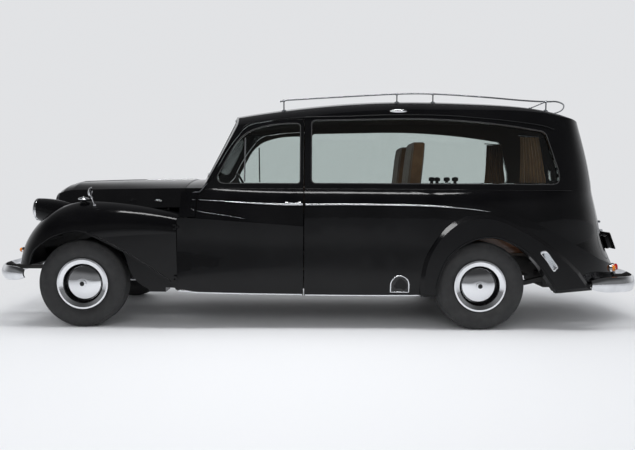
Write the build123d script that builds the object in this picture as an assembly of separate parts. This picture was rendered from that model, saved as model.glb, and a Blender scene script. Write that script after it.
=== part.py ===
from build123d import *
import os
from math import cos, radians, sin, sqrt, tan

# A hearse on a separate chassis, in millimetres. While it is being built, x runs from the
# front axle line to the tail, y from the middle to the driver's side (the right), and z up
# from the ground. The export at the end puts x = 0 at mid-length.

# ---- driving dimensions ------------------------------------------------------------------
wheelbase = 3353.0
front_reach = 800.0          # front axle line to the bumper's nose
rear_reach = 4831.0          # front axle line to the tail's lowest point
front_track = 1486.0
rear_track = 1588.0

tyre_radius = 370.0
rear_well_radius = 412.0
tyre_width = 188.0
rim_radius = 213.0
wheel_dish = 25.0            # the trim ring's face, inside the tyre's side wall
hubcap_radius = 145.0
drum_radius = 150.0
axle_height = tyre_radius

kingpin_y = 655.0
kingpin_radius = 15.0
arm_eye_radius = 23.0
knuckle_height = 200.0
pin_gap = 3.0                # between the knuckle's ends and the wishbones' eyes
pin_play = 0.05
spindle_radius = 25.0

shell_thickness = 42.0       # whole wall, with its trim
roof_thickness = 34.0
door_gap = 5.0
pillar_gap = 9.0             # the wider shut line at a door's free edge
glass_thickness = 6.0
glass_depth = 16.0           # outer face of the wall to the glass
glass_play = 0.3

pillar_x = 1878.0            # middle of the pillar behind the front door
quarter_start_x = 2700.0     # where the sides begin to taper to the tail
quarter_x = 4050.0
belt_z = 1177.0
sill_z = 290.0
door_front_x = 817.0        # also where the front wing ends
bonnet_rear_x = 840.0
bonnet_joint = 4.0           # between the bonnets' rear edge and the scuttle
bonnet_hinge_z = 1262.0
bonnet_swing_radius = 710.0  # swept by the bonnets' lower edge about their hinge line, with clearance

bonnet_front_x = -385.0
bonnet_thickness = 16.0
spine_half_width = 9.0

wing_half_width = 930.0
wing_crown_y = 720.0
wing_nose_x = 40.0           # centre of the round nose, seen from the side
wing_nose_z = 467.0
wing_nose_radius = 597.0

rail_height = 42.0           # roof to the middle of the roof rail
rail_tube_radius = 7.0

hinge_y = 918.0              # the front doors' hinge line, outside the panel
hinge_radius = 7.0
hinge_pin_radius = 4.0
hinge_heights = (430.0, 860.0)

deck_z = 1190.0
deck_front_x = 2960.0
board_thickness = 8.0          # the bearer board laid on the deck
floor_z = 470.0              # on top of the side rails
floor_thickness = 20.0
rear_floor_z = 610.0
shaft_start = (846.0, 0.0, 430.0)
shaft_end = (3250.0, 0.0, 380.0)
shaft_radius = 34.0

# plan of the body at some heights: z, |y| at the front, |y| at the pillar,
# |y| at the rear quarter, x of the tail's middle
full_rows = (
    (240.0, 870.0, 836.0, 800.0, 4872.0),
    (600.0, 903.0, 895.0, 852.0, 4745.0),
    (900.0, 904.0, 900.0, 846.0, 4638.0),
    (1090.0, 884.0, 876.0, 800.0, 4578.0),
    (belt_z, 822.0, 814.0, 738.0, 4549.0),
)
# the same where the side is drawn in above its sweeping crest
drawn_rows = (
    (240.0, 850.0, 836.0, 730.0, 4860.0),
    (600.0, 880.0, 895.0, 785.0, 4733.0),
    (900.0, 846.0, 900.0, 780.0, 4628.0),
    (1000.0, 770.0, 892.0, 776.0, 4600.0),
    (1090.0, 722.0, 876.0, 762.0, 4574.0),
    (belt_z, 690.0, 814.0, 738.0, 4549.0),
)
upper_rows = (
    (belt_z, 690.0, 814.0, 738.0, 4549.0),
    (1550.0, 640.0, 738.0, 668.0, 4462.0),
    (1800.0, 606.0, 690.0, 622.0, 4358.0),
    (2080.0, 570.0, 636.0, 570.0, 4230.0),
)
# x and height of the roof's middle line
roof_rows = (
    (790.0, 1744.0),
    (1282.0, 1850.0),
    (2010.0, 1949.0),
    (2800.0, 1990.0),
    (3576.0, 1969.0),
    (4038.0, 1912.0),
    (4271.0, 1831.0),
    (4500.0, 1680.0),
    (4950.0, 1360.0),
)
# how far the roof drops from its middle: |y|, drop
roof_drop = ((560.0, 62.0), (655.0, 112.0), (740.0, 205.0), (1000.0, 620.0))
# windscreen: z, x at the middle, x at |y| = screen_side_y
screen_rows = ((1150.0, 915.0, 1030.0), (2080.0, 1345.0, 1640.0))
screen_side_y = 900.0


# ---- outlines ----------------------------------------------------------------------------
def closed_face(plane, *steps, grow=0.0):
    """Face from a start point, then end points of lines or (middle, end) pairs of arcs."""
    edges = []
    here = steps[0]
    for step in steps[1:] + (steps[0],):
        if isinstance(step[0], tuple):
            middle, end = step
            edges.append(Edge.make_three_point_arc(here, middle, end))
        else:
            end = step
            if (Vector(*end) - Vector(*here)).length > 1e-6:
                edges.append(Edge.make_line(here, end))
        here = end
    face = Face(Wire(edges))
    if grow:
        face = offset(face, amount=grow)
    return plane * face


def side_prism(y_from, y_to, *steps, grow=0.0):
    """Solid between two y planes from an outline of (x, z) points."""
    face = closed_face(Plane.XZ, *steps, grow=grow)
    return Pos(0, y_from, 0) * extrude(face, amount=y_to - y_from, dir=(0, 1, 0))


def end_prism(x_from, x_to, *steps, grow=0.0):
    """Solid between two x planes from an outline of (y, z) points."""
    face = closed_face(Plane.YZ, *steps, grow=grow)
    return Pos(x_from, 0, 0) * extrude(face, amount=x_to - x_from, dir=(1, 0, 0))


def flat_prism(z_from, z_to, *steps):
    """Solid between two heights from an outline of (x, y) points."""
    return Pos(0, 0, z_from) * extrude(closed_face(Plane.XY, *steps), amount=z_to - z_from, dir=(0, 0, 1))


def block(x0, x1, y0, y1, z0, z1):
    return Pos((x0 + x1) / 2, (y0 + y1) / 2, (z0 + z1) / 2) * Box(abs(x1 - x0), abs(y1 - y0), abs(z1 - z0))


def rod(start, end, radius):
    """Round bar between two points."""
    axis = Vector(*end) - Vector(*start)
    return Plane(origin=start, z_dir=axis) * extrude(Circle(radius), amount=axis.length)


def disc(x, y, z, radius, y_length):
    """Cylinder along y, from y to y + y_length."""
    return Plane(origin=(x, y, z), z_dir=(0, 1, 0)) * extrude(Circle(radius), amount=y_length)


def right_of(shape):
    return mirror(shape, about=Plane.XZ)


# ---- the body's form ---------------------------------------------------------------------
def arc_pair(start, start_way, end, end_way):
    """Two tangent arcs that leave start and reach end along the given ways."""
    a, b = Vector(*start), Vector(*end)
    ta, tb = Vector(*start_way).normalized(), Vector(*end_way).normalized()
    v, t = b - a, ta + tb
    k = 2 * (1 - ta.dot(tb))
    reach = (-v.dot(t) + sqrt(v.dot(t) ** 2 + k * v.dot(v))) / k
    joint = (a + ta * reach + b - tb * reach) * 0.5
    first = Edge.make_tangent_arc(a, ta, joint)
    second = Edge.make_tangent_arc(joint, first.tangent_at(1), b)
    return first, second


def plan_wire(row, inset):
    """The body's outline at one height, drawn in by inset."""
    z, front_y, pillar_y, quarter_y, tail_x = row
    near = [
        (door_front_x, -(front_y - inset), z),
        (pillar_x, -(pillar_y - inset), z),
        (quarter_start_x, -(pillar_y - inset), z),
        (quarter_x, -(quarter_y - inset), z),
    ]
    tail = (tail_x - inset, 0, z)
    door = Edge.make_tangent_arc(Vector(*near[1]), Vector(-1, 0, 0), Vector(*near[0]))
    quarter = Edge.make_tangent_arc(Vector(*near[2]), Vector(1, 0, 0), Vector(*near[3]))
    edges = [door, Edge.make_line(near[1], near[2]), quarter]
    edges += arc_pair(near[3], tuple(quarter.tangent_at(1)), tail, (0, 1, 0))
    far = [edge.mirror(Plane.XZ) for edge in edges]
    front = Edge.make_line(near[0], (near[0][0], -near[0][1], z))
    return Wire(edges + far + [front])


def level_loft(rows, inset):
    return Solid.make_loft([plan_wire(row, inset) for row in rows])


def roof_wire(x, top_z):
    """Section under the roof's surface, as wide as the body at its widest and down to the ground."""
    (y1, d1), (y2, d2), (y3, d3), (y4, d4) = roof_drop
    right = [(y1, top_z - d1), (y2, top_z - d2), (y3, top_z - d3), (y4, top_z - d4), (y4, 100.0)]
    points = [Vector(x, y, z) for y, z in right]
    mirrored = [Vector(x, -y, z) for y, z in right]
    edges = [
        Edge.make_three_point_arc(mirrored[0], Vector(x, 0, top_z), points[0]),
        Edge.make_three_point_arc(points[0], points[1], points[2]),
        Edge.make_line(points[2], points[3]),
        Edge.make_line(points[3], points[4]),
        Edge.make_line(points[4], mirrored[4]),
        Edge.make_line(mirrored[4], mirrored[3]),
        Edge.make_line(mirrored[3], mirrored[2]),
        Edge.make_three_point_arc(mirrored[2], mirrored[1], mirrored[0]),
    ]
    return Wire(edges)


def under_roof(inset):
    return Solid.make_loft([roof_wire(x, z - inset) for x, z in roof_rows])


def before_screen(inset):
    """What lies ahead of the windscreen's surface."""
    wires = []
    for z, middle_x, side_x in screen_rows:
        side_y = screen_side_y
        near = Vector(side_x + inset, -side_y, z)
        far = Vector(side_x + inset, side_y, z)
        ahead = door_front_x - 200.0
        edges = [
            Edge.make_three_point_arc(near, Vector(middle_x + inset, 0, z), far),
            Edge.make_line(far, Vector(ahead, side_y, z)),
            Edge.make_line(Vector(ahead, side_y, z), Vector(ahead, -side_y, z)),
            Edge.make_line(Vector(ahead, -side_y, z), near),
        ]
        wires.append(Wire(edges))
    return Solid.make_loft(wires, ruled=True)


def below_crest():
    """The full-width lower body: under the front sweep, whole at the middle, under the rear crest."""
    return side_prism(
        1000.0, -1000.0,
        (door_front_x - 10, 200.0), (door_front_x - 10, 943.0),
        ((1343.0, 907.0), (pillar_x, 868.0)),
        (pillar_x, belt_z + 1), (2500.0, belt_z + 1),
        ((3100.0, 1120.0), (3505.0, 1032.0)), ((3860.0, 875.0), (4181.0, 705.0)), (4411.0, 588.0),
        (4900.0, 430.0), (4900.0, 200.0),
    )


def body_form(inset, roof_inset):
    """Outer form of the passenger and load body, drawn in by inset."""
    crest = below_crest()
    lower = (level_loft(full_rows, inset) & crest) + (level_loft(drawn_rows, inset) - crest)
    upper = level_loft(upper_rows, inset)
    form = lower + upper
    form = form & under_roof(roof_inset)
    return form - before_screen(inset)



# ---- openings in the body ----------------------------------------------------------------
door_opening = (
    (door_front_x, 200.0), (door_front_x, 940.0), (962.0, 940.0), (962.0, 1120.0), (1000.0, 1165.0), (1105.0, 1290.0), ((1196.0, 1470.0), (1318.0, 1640.0)),
    ((1392.0, 1712.0), (1500.0, 1742.0)), ((1680.0, 1768.0), (pillar_x, 1772.0)),
    (pillar_x, 200.0),
)
front_window = (
    (1141.0, 1285.0), ((1150.0, 1246.0), (1190.0, 1228.0)), (1812.0, 1228.0),
    ((1829.0, 1234.0), (1836.0, 1252.0)), (1836.0, 1700.0), ((1829.0, 1722.0), (1800.0, 1730.0)),
    ((1583.0, 1715.0), (1422.0, 1668.0)), ((1329.0, 1600.0), (1252.0, 1488.0)),
)
rear_window = (
    (1940.0, 1265.0), ((1951.0, 1238.0), (1975.0, 1230.0)), (3985.0, 1230.0),
    ((4033.0, 1246.0), (4046.0, 1290.0)), (4040.0, 1348.0), (3948.0, 1640.0),
    ((3928.0, 1668.0), (3890.0, 1680.0)), ((3300.0, 1754.0), (2680.0, 1774.0)),
    (1975.0, 1758.0), ((1948.0, 1748.0), (1940.0, 1720.0)),
)
front_arch = (
    (-700.0, 100.0), (-700.0, 535.0), (-401.0, 535.0), ((-357.0, 645.0), (-229.0, 748.0)),
    ((-20.0, 815.0), (144.0, 774.0)), (391.0, 646.0), (637.0, 485.0), (770.0, 385.0),
    ((800.0, 345.0), (806.0, 100.0)),
)
front_well = (
    (-700.0, 100.0), (-700.0, 535.0), (-401.0, 535.0), ((-357.0, 645.0), (-229.0, 748.0)),
    ((-20.0, 815.0), (144.0, 774.0)), ((300.0, 690.0), (376.0, 554.0)),
    ((430.0, 420.0), (551.0, 325.0)), (620.0, 100.0),
)
rear_arch = (
    (2972.0, 100.0), (2979.0, 290.0), ((3064.0, 595.0), (3227.0, 732.0)),
    ((3407.0, 779.0), (3560.0, 745.0)), ((3755.0, 618.0), (3869.0, 478.0)),
    (3975.0, 330.0), (3985.0, 100.0),
)
rear_wing_edge = (
    (2852.0, 284.0), ((2925.0, 706.0), (3123.0, 920.0)), ((3330.0, 972.0), (3540.0, 938.0)),
    ((3900.0, 735.0), (4170.0, 500.0)), (4282.0, 346.0), (4014.0, 320.0), (2979.0, 284.0),
)
tail_opening = (
    (-455.0, 560.0), (455.0, 560.0), ((498.0, 580.0), (515.0, 640.0)), (535.0, 1100.0),
    (500.0, 1540.0), ((465.0, 1670.0), (350.0, 1715.0)), (-350.0, 1715.0),
    ((-465.0, 1670.0), (-500.0, 1540.0)), (-535.0, 1100.0), (-515.0, 640.0),
    ((-498.0, 580.0), (-455.0, 560.0)),
)
tail_window = (
    (-440.0, 1262.0), (440.0, 1262.0), ((466.0, 1275.0), (470.0, 1305.0)), (440.0, 1550.0),
    ((415.0, 1620.0), (335.0, 1645.0)), (-335.0, 1645.0), ((-415.0, 1620.0), (-440.0, 1550.0)),
    (-470.0, 1305.0), ((-466.0, 1275.0), (-440.0, 1262.0)),
)
screen_opening = (
    (-560.0, 1275.0), (560.0, 1275.0), ((600.0, 1285.0), (618.0, 1320.0)), (548.0, 1700.0),
    ((520.0, 1760.0), (450.0, 1782.0)), ((0.0, 1805.0), (-450.0, 1782.0)),
    ((-520.0, 1760.0), (-548.0, 1700.0)), (-618.0, 1320.0), ((-600.0, 1285.0), (-560.0, 1275.0)),
)
gutter_line = (
    (700.0, 1738.0), (1400.0, 1738.0), ((1620.0, 1780.0), (pillar_x, 1790.0)), ((2682.0, 1807.0), (3530.0, 1768.0)),
    (3930.0, 1724.0), (4180.0, 1742.0), (5000.0, 1742.0), (5000.0, 2300.0), (700.0, 2300.0),
)
underside = (
    (700.0, 0.0), (700.0, 338.0), (817.0, 331.0), (1003.0, 312.0), (1423.0, 296.0), (1876.0, 286.0),
    (2990.0, 282.0), (4262.0, 340.0), (4860.0, 458.0), (5000.0, 458.0), (5000.0, 0.0),
)


# ---- body panels -------------------------------------------------------------------------
def wall_glass(*outline):
    """Pane that follows the upper wall inside a window's outline, for both sides."""
    skin = level_loft(upper_rows, glass_depth) - level_loft(upper_rows, glass_depth + glass_thickness)
    return skin & side_prism(-1000.0, 0.0, *outline, grow=-glass_play)


def make_body():
    """The panels that meet on the real body: each is the outer form in its zone, less the room inside."""
    outer = body_form(0.0, 0.0)
    room = body_form(shell_thickness, roof_thickness)
    tail_hole = end_prism(4200.0, 5000.0, *tail_opening)
    screen_hole = end_prism(700.0, 1560.0, *screen_opening)
    above_gutter = side_prism(-1100.0, 1100.0, *gutter_line)
    below_floor = side_prism(-1100.0, 1100.0, *underside)
    opening = side_prism(-1100.0, 0.0, *door_opening)
    well = disc(wheelbase, -1000, axle_height, rear_well_radius, 1000)

    roof = (outer & above_gutter) - room
    roof = roof - tail_hole - screen_hole

    rear_zone = block(1600, 5000, -1100, 0, 0, 2300) - below_floor - above_gutter
    side = (outer & rear_zone) - room
    side = side - tail_hole - opening - side_prism(-1100.0, 0.0, *rear_window)
    side = side - side_prism(-1100.0, 0.0, *rear_arch) - well

    front_zone = block(700, pillar_x, -1100, 0, 0, 2300) - below_floor - above_gutter
    front = (outer & front_zone) - room
    post = (front & block(700, 1600, -1100, 0, 0, 2300)) - opening - screen_hole
    door = front & side_prism(-1100.0, 0.0, *door_opening, grow=-door_gap)
    door = door & block(door_front_x, pillar_x - pillar_gap, -1100, -400, 0, 2300)
    door = door - side_prism(-1100.0, 0.0, *front_window)

    lid = (outer & end_prism(4200.0, 5000.0, *tail_opening, grow=-door_gap)) - room
    lid = lid - end_prism(4200.0, 5000.0, *tail_window)
    return roof, side, post, door, lid


def hinge_fixed(z):
    """Knuckles and pin of a door hinge, on the wing's rear edge."""
    barrel = Cylinder(hinge_radius, 15)
    ends = Pos(door_front_x, -hinge_y, z - 16) * barrel + Pos(door_front_x, -hinge_y, z + 16) * barrel
    pin = Pos(door_front_x, -hinge_y, z) * Cylinder(hinge_pin_radius, 47)
    leaf = block(door_front_x - 24, door_front_x - 1, -hinge_y - 3, -870, z - 23.5, z - 8.5)
    leaf = leaf + block(door_front_x - 24, door_front_x - 1, -hinge_y - 3, -870, z + 8.5, z + 23.5)
    return ends + pin + leaf


def hinge_moving(z):
    """The middle knuckle, with its leaf in the door's front edge."""
    barrel = Pos(door_front_x, -hinge_y, z) * Cylinder(hinge_radius, 16)
    leaf = block(door_front_x + 1, door_front_x + 24, -hinge_y - 3, -862, z - 8, z + 8)
    return barrel + leaf - Pos(door_front_x, -hinge_y, z) * Cylinder(hinge_pin_radius + pin_play, 60)


def make_scuttle(post):
    """Scuttle with the bulkhead under it and both windscreen posts."""
    rows = ((bonnet_rear_x + bonnet_joint, 622.0, 1181.0, 1258.0), (1110.0, 716.0, 1183.0, 1268.0))
    wires = []
    for x, crease_y, crease_z, top_z in rows:
        low = (x, -crease_y - 18, 1120.0)
        crease = (x, -crease_y, crease_z)
        edges = [
            Edge.make_line(low, crease),
            Edge.make_three_point_arc(crease, (x, 0, top_z), (x, crease_y, crease_z)),
            Edge.make_line((x, crease_y, crease_z), (x, crease_y + 18, 1120.0)),
            Edge.make_line((x, crease_y + 18, 1120.0), low),
        ]
        wires.append(Wire(edges))
    top = Solid.make_loft(wires, ruled=True)
    top = top & before_screen(0.0)
    bulkhead = block(bonnet_rear_x + 12, bonnet_rear_x + 32, -600, 600, floor_z + floor_thickness, 1130)
    joint_x = bonnet_rear_x + bonnet_joint
    swept_length = 80
    swept = Cylinder(bonnet_swing_radius, swept_length)
    swept = Pos(joint_x - swept_length / 2, 0, bonnet_hinge_z) * Rot(0, 90, 0) * swept
    post = post - (swept & block(700, joint_x, -900, 900, 980, 1300))
    return top + bulkhead + post + right_of(post)


def bonnet_wire(row, inset):
    x, top_z, crease_y, crease_z, low_y, low_z = row
    top_z, crease_y, crease_z, low_y = top_z - inset, crease_y - inset, crease_z - inset, low_y - inset
    edges = [
        Edge.make_line((x, -low_y, low_z), (x, -crease_y, crease_z)),
        Edge.make_three_point_arc((x, -crease_y, crease_z), (x, 0, top_z), (x, crease_y, crease_z)),
        Edge.make_line((x, crease_y, crease_z), (x, low_y, low_z)),
        Edge.make_line((x, low_y, low_z), (x, -low_y, low_z)),
    ]
    return Wire(edges)


# bonnet: x, middle z, |y| and z of the crease along its side, |y| and z of its lower edge
bonnet_rows = (
    (-385.0, 1190.0, 318.0, 1122.0, 352.0, 985.0),
    (-340.0, 1214.0, 328.0, 1142.0, 364.0, 986.0),
    (-250.0, 1236.0, 345.0, 1158.0, 384.0, 988.0),
    (200.0, 1252.0, 470.0, 1170.0, 500.0, 1000.0),
    (bonnet_rear_x + bonnet_joint, bonnet_hinge_z, 620.0, 1181.0, 646.0, 1015.0),
)


def make_bonnet():
    """Both halves of the bonnet and the fixed hinge strip between them."""
    skin = Solid.make_loft([bonnet_wire(row, 0.0) for row in bonnet_rows], ruled=True)
    hollow = Solid.make_loft([bonnet_wire(row, bonnet_thickness) for row in bonnet_rows], ruled=True)
    skin = skin - hollow
    spine = skin & block(-400, 900, -spine_half_width, spine_half_width, 0, 1400)
    edge = spine_half_width + 0.6
    left = skin & block(bonnet_front_x + door_gap, bonnet_rear_x - 1, -900, -edge, 0, 1400)
    return left, spine


# front wing: x, inner top y, z; valley y, z; arc middle y, z; crown y, z; arc middle y, z;
# widest y, z; lower edge y, z
wing_rows = (
    (wing_nose_x, (-330.0, 958.0), (-585.0, 966.0), (-655.0, 1035.0), (-720.0, 1064.0),
     (-868.0, 975.0), (-930.0, 750.0), (-915.0, 300.0)),
    (430.0, (-460.0, 975.0), (-625.0, 975.0), (-700.0, 1022.0), (-765.0, 1037.0),
     (-872.0, 975.0), (-922.0, 790.0), (-908.0, 300.0)),
    (door_front_x, (-600.0, 980.0), (-690.0, 975.0), (-760.0, 970.0), (-812.0, 960.0),
     (-875.0, 910.0), (-904.0, 800.0), (-880.0, 300.0)),
)


def wing_wire(row, bottom_z):
    x, inner, valley, rise, crown, fall, widest, low = row
    points = [(x, inner[0], bottom_z)] + [(x, y, z) for y, z in (inner, valley, rise, crown, fall, widest)]
    last = (x, low[0], bottom_z)
    edges = [
        Edge.make_line(points[0], points[1]),
        Edge.make_line(points[1], points[2]),
        Edge.make_three_point_arc(points[2], points[3], points[4]),
        Edge.make_three_point_arc(points[4], points[5], points[6]),
        Edge.make_line(points[6], last),
        Edge.make_line(last, points[0]),
    ]
    return Wire(edges)


def make_front_wing():
    """Round nose turned about a cross axis, then the crown falling back to the door."""
    nose_section = Face(wing_wire(wing_rows[0], wing_nose_z))
    nose_axis = Axis((wing_nose_x, 0, wing_nose_z), (0, 1, 0))
    nose = revolve(nose_section, axis=nose_axis, revolution_arc=360.0)
    nose = nose & block(-700, wing_nose_x, -1000, 0, wing_nose_z, 1200)
    tail = Solid.make_loft([wing_wire(row, 300.0) for row in wing_rows])
    wing = nose + tail
    wing = wing - side_prism(-1100.0, -790.0, *front_arch)
    wing = wing - side_prism(-791.0, -462.0, *front_well)
    inner_edge = flat_prism(
        200.0, 1200.0,
        (-700.0, 0.0), (-700.0, -310.0), (-385.0, -362.0), (835.0, -656.0), (900.0, -672.0), (900.0, 0.0),
    )
    wing = wing - inner_edge
    wing = wing - side_prism(-1100.0, 0.0, *underside)
    wing = wing - block(-130, 130, -800, -300, 200, 620)
    wing = wing - block(-700, 0, -1100, -100, 200, 540)
    wing = wing + lamp_fairing()
    for z in hinge_heights:
        knuckle_room = Pos(door_front_x, -hinge_y, z) * Cylinder(hinge_radius + 2, 16.6)
        wing = wing - knuckle_room + hinge_fixed(z)
    return wing


# headlamp fairing on the wing's inner slope: x, y, z and radius of each round section
fairing_rows = (
    (-470.0, -520.0, 985.0, 100.0),
    (-300.0, -545.0, 950.0, 122.0),
    (-60.0, -590.0, 935.0, 70.0),
)


def lamp_fairing():
    wires = []
    for x, y, z, radius in fairing_rows:
        wires.append(Wire([Edge.make_circle(radius, Plane(origin=(x, y, z), z_dir=(1, 0, 0)))]))
    return Solid.make_loft(wires)


def make_rear_wing(side):
    wires = []
    for y, grow in ((-840.0, 0.0), (-892.0, 0.0), (-930.0, -34.0)):
        face = Pos(0, y, 0) * closed_face(Plane.XZ, *rear_wing_edge, grow=grow)
        wires.append(face.face().outer_wire())
    inner = Solid.make_loft(wires[:2], ruled=True)
    outer = Solid.make_loft(wires[1:], ruled=True)
    wing = (inner + outer) - side_prism(-1100.0, 0.0, *rear_arch)
    wing = wing - disc(wheelbase, -896, axle_height, rear_well_radius, 900)
    filled = level_loft(full_rows, 0.0) & below_crest()
    filled = filled + level_loft(drawn_rows, 0.0)
    return wing - filled


# ---- front: grille, lamps, bumpers -------------------------------------------------------
def make_grille():
    """Radiator shell with its upright bars, on the apron between the wings."""
    shell_outline = (
        (-300.0, 500.0), (300.0, 500.0), (308.0, 960.0), ((296.0, 1080.0), (180.0, 1130.0)),
        ((0.0, 1152.0), (-180.0, 1130.0)), ((-296.0, 1080.0), (-308.0, 960.0)), (-300.0, 500.0),
    )
    outer = end_prism(-420.0, bonnet_front_x, *shell_outline)
    hole = end_prism(-430.0, -380.0, *shell_outline, grow=-26.0)
    bars = []
    bar_count = 22
    for i in range(bar_count):
        y = -253.0 + i * 506.0 / (bar_count - 1)
        bars.append(block(-412, -392, y - 3.5, y + 3.5, 505, 1130))
    grille = outer - hole
    inside = end_prism(-430.0, -380.0, *shell_outline, grow=-20.0)
    back = end_prism(-396.0, bonnet_front_x, *shell_outline, grow=-20.0)
    grille = grille + back
    for bar in bars:
        grille = grille + (bar & inside)
    return grille


def make_engine():
    motor = block(-190, 520, -170, 170, 480, 980)
    box = block(520, 845, -120, 120, 400, 640)
    mounts = block(20, 90, -330, -170, 430, 480) + block(20, 90, 170, 330, 430, 480)
    return motor + box + mounts


def make_lamps():
    """Headlamps at the mouths of their fairings, and a lamp low on each side of the tail."""
    x, y, z, radius = fairing_rows[0]
    lens = Pos(x - 14, y, z) * Rot(0, 90, 0) * Cylinder(radius - 2, 28)
    return lens + right_of(lens)


def make_bumper_front():
    outer = flat_prism(
        402.0, 520.0,
        (-front_reach, 0.0), (-796.0, 200.0), ((-765.0, 520.0), (-640.0, 790.0)), (-470.0, 868.0),
        (-462.0, 848.0), (-620.0, 770.0), ((-742.0, 510.0), (-774.0, 200.0)), (-778.0, 0.0),
    )
    half = outer
    bar = half + right_of(half)
    irons = block(-776, -440, 330, 380, 430, 480) + block(-776, -440, -380, -330, 430, 480)
    return bar + irons


def make_bumper_rear():
    half = flat_prism(
        318.0, 448.0,
        (rear_reach, 0.0), (4829.0, 260.0), ((4760.0, 600.0), (4620.0, 800.0)), (4330.0, 862.0),
        (4326.0, 842.0), (4605.0, 780.0), ((4738.0, 590.0), (4807.0, 255.0)), (rear_reach - 22, 0.0),
    )
    bar = half + right_of(half)
    irons = block(4600, 4790, 330, 380, 372, 410) + block(4600, 4790, -380, -330, 372, 410)
    return bar + irons


# ---- chassis -----------------------------------------------------------------------------
def make_frame():
    """Two side rails that rise over the rear axle, joined by cross members."""
    rail = side_prism(
        -400.0, -330.0,
        (-440.0, 400.0), (600.0, 350.0), (2750.0, 350.0), (3050.0, 520.0), (3650.0, 520.0),
        (3950.0, 400.0), (4600.0, 400.0), (4600.0, 500.0), (3950.0, 510.0), (3680.0, 610.0),
        (3020.0, 610.0), (2730.0, 470.0), (600.0, 470.0), (-440.0, 520.0),
    )
    frame = rail + right_of(rail)
    for x, z0, z1 in ((-400, 410, 500), (1150, 360, 440), (1900, 360, 440), (2600, 360, 440),
                      (3780, 490, 560), (4560, 410, 490)):
        frame = frame + block(x - 40, x + 40, -340, 340, z0, z1)
    for x in (1300, 2400):
        frame = frame + block(x - 30, x + 30, -760, -390, 380, 430) + block(x - 30, x + 30, 390, 760, 380, 430)
    return frame - rod(shaft_start, shaft_end, shaft_radius + 12)


# ---- wheels, knuckles, suspension --------------------------------------------------------
def turned(*steps):
    """Ring turned about the y axis from (radius, outward) points; outward is -y."""
    points = []
    for step in steps:
        if isinstance(step[0], tuple):
            points.append(tuple((r, -out) for r, out in step))
        else:
            points.append((step[0], -step[1]))
    return revolve(closed_face(Plane.XY, *points), axis=Axis.Y)


def make_wheel():
    wheel = turned(
        (0.0, 8.0), (180.0, 8.0), (190.0, -64.0), (205.0, -64.0), (205.0, 64.0), (216.0, 67.0),
        (216.0, 72.0), (202.0, 73.0), (167.0, 60.0), (160.0, 36.0), (150.0, 24.0), (146.0, 24.0),
        (145.0, 38.0), ((92.0, 62.0), (34.0, 72.0)), (34.0, 80.0), (0.0, 82.0),
    )
    drum = turned((0.0, 8.0), (150.0, 8.0), (150.0, -46.0), (0.0, -46.0))
    return wheel + drum - turned((0.0, -60.0), (0.0, -4.0), (spindle_radius + pin_play, -4.0),
                                 (spindle_radius + pin_play, -60.0))


def make_tyre():
    bead = rim_radius - 8 + 0.3
    half = tyre_width / 2
    crown = tyre_radius
    return turned(
        (bead, -54.0), (bead + 16, -62.0), ((bead + 80, -half), (crown - 24, -half + 15)),
        ((crown - 8, -half + 24), (crown, -half + 40)), (crown, half - 40),
        ((crown - 8, half - 24), (crown - 24, half - 15)), ((bead + 80, half), (bead + 16, 62.0)),
        (bead, 54.0),
    )


def at_wheel(shape, x, track):
    return Pos(x, -track / 2, axle_height) * shape


def make_knuckle():
    """Upright that turns on the kingpin and carries the stub axle."""
    y = -kingpin_y
    boss = Pos(0, y, axle_height) * Cylinder(32, knuckle_height)
    web = block(-45, 45, y - 34, y + 10, axle_height - 70, axle_height + 70)
    stub_end = -front_track / 2 + 5
    stub = disc(0, y, axle_height, spindle_radius, stub_end - y)
    arm = block(20, 190, y + 6, y + 26, axle_height - 60, axle_height - 40)
    knuckle = boss + web + stub + arm
    bore = Pos(0, y, axle_height) * Cylinder(kingpin_radius + pin_play, knuckle_height + 20)
    return knuckle - bore


def make_front_suspension():
    """Cross member, wishbones, springs and the kingpins on both sides."""
    y = -kingpin_y
    half = knuckle_height / 2 + pin_gap
    low = axle_height - half
    high = axle_height + half
    pin = Pos(0, y, axle_height) * Cylinder(kingpin_radius, 2 * half + 40)
    lower = block(-34, 34, y, -400, low - 24, low) + Pos(0, y, low - 12) * Cylinder(arm_eye_radius, 24)
    upper = block(-30, 30, y, -400, high, high + 22) + Pos(0, y, high + 11) * Cylinder(arm_eye_radius, 22)
    spring = Pos(0, -500, (low + high) / 2) * Cylinder(52, high - low)
    side = pin + lower + upper + spring + block(-90, 90, -430, -401, low - 24, high + 22)
    return side


def make_rear_axle():
    tube = disc(wheelbase, -rear_track / 2 + 62, axle_height, 42, rear_track - 124)
    casing = Pos(wheelbase, 0, axle_height) * Sphere(140)
    stub = disc(wheelbase, -rear_track / 2 + 5, axle_height, spindle_radius, rear_track - 10)
    shaft = rod(shaft_start, shaft_end, shaft_radius)
    springs = side_prism(
        -620.0, -560.0,
        (2700.0, 395.0), ((wheelbase, 295.0), (4010.0, 395.0)), (4010.0, 430.0), ((wheelbase, 334.0), (2700.0, 430.0)),
    )
    axle = tube + casing + stub + shaft
    for x in (2720, 3990):
        springs = springs + block(x - 20, x + 20, -620, -400, 396, 440)
    return axle + springs + right_of(springs)


def make_exhaust():
    pipe_path = FilletPolyline((300, 250, 470), (620, 250, 315), (2500, 250, 280), (2900, 200, 280),
                               (3150, 200, 230), (3600, 200, 230), (4000, 200, 330), (4740, 200, 340), radius=120)
    pipe = sweep(Plane(origin=pipe_path @ 0, z_dir=pipe_path % 0) * Circle(24), path=pipe_path)
    hangers = block(1890, 1910, 244, 256, 290, 360) + block(4550, 4570, 194, 206, 345, 410)
    return pipe + hangers + (Pos(1560, 250, 288) * Rot(0, 90, 0) * Cylinder(58, 560))


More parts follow.
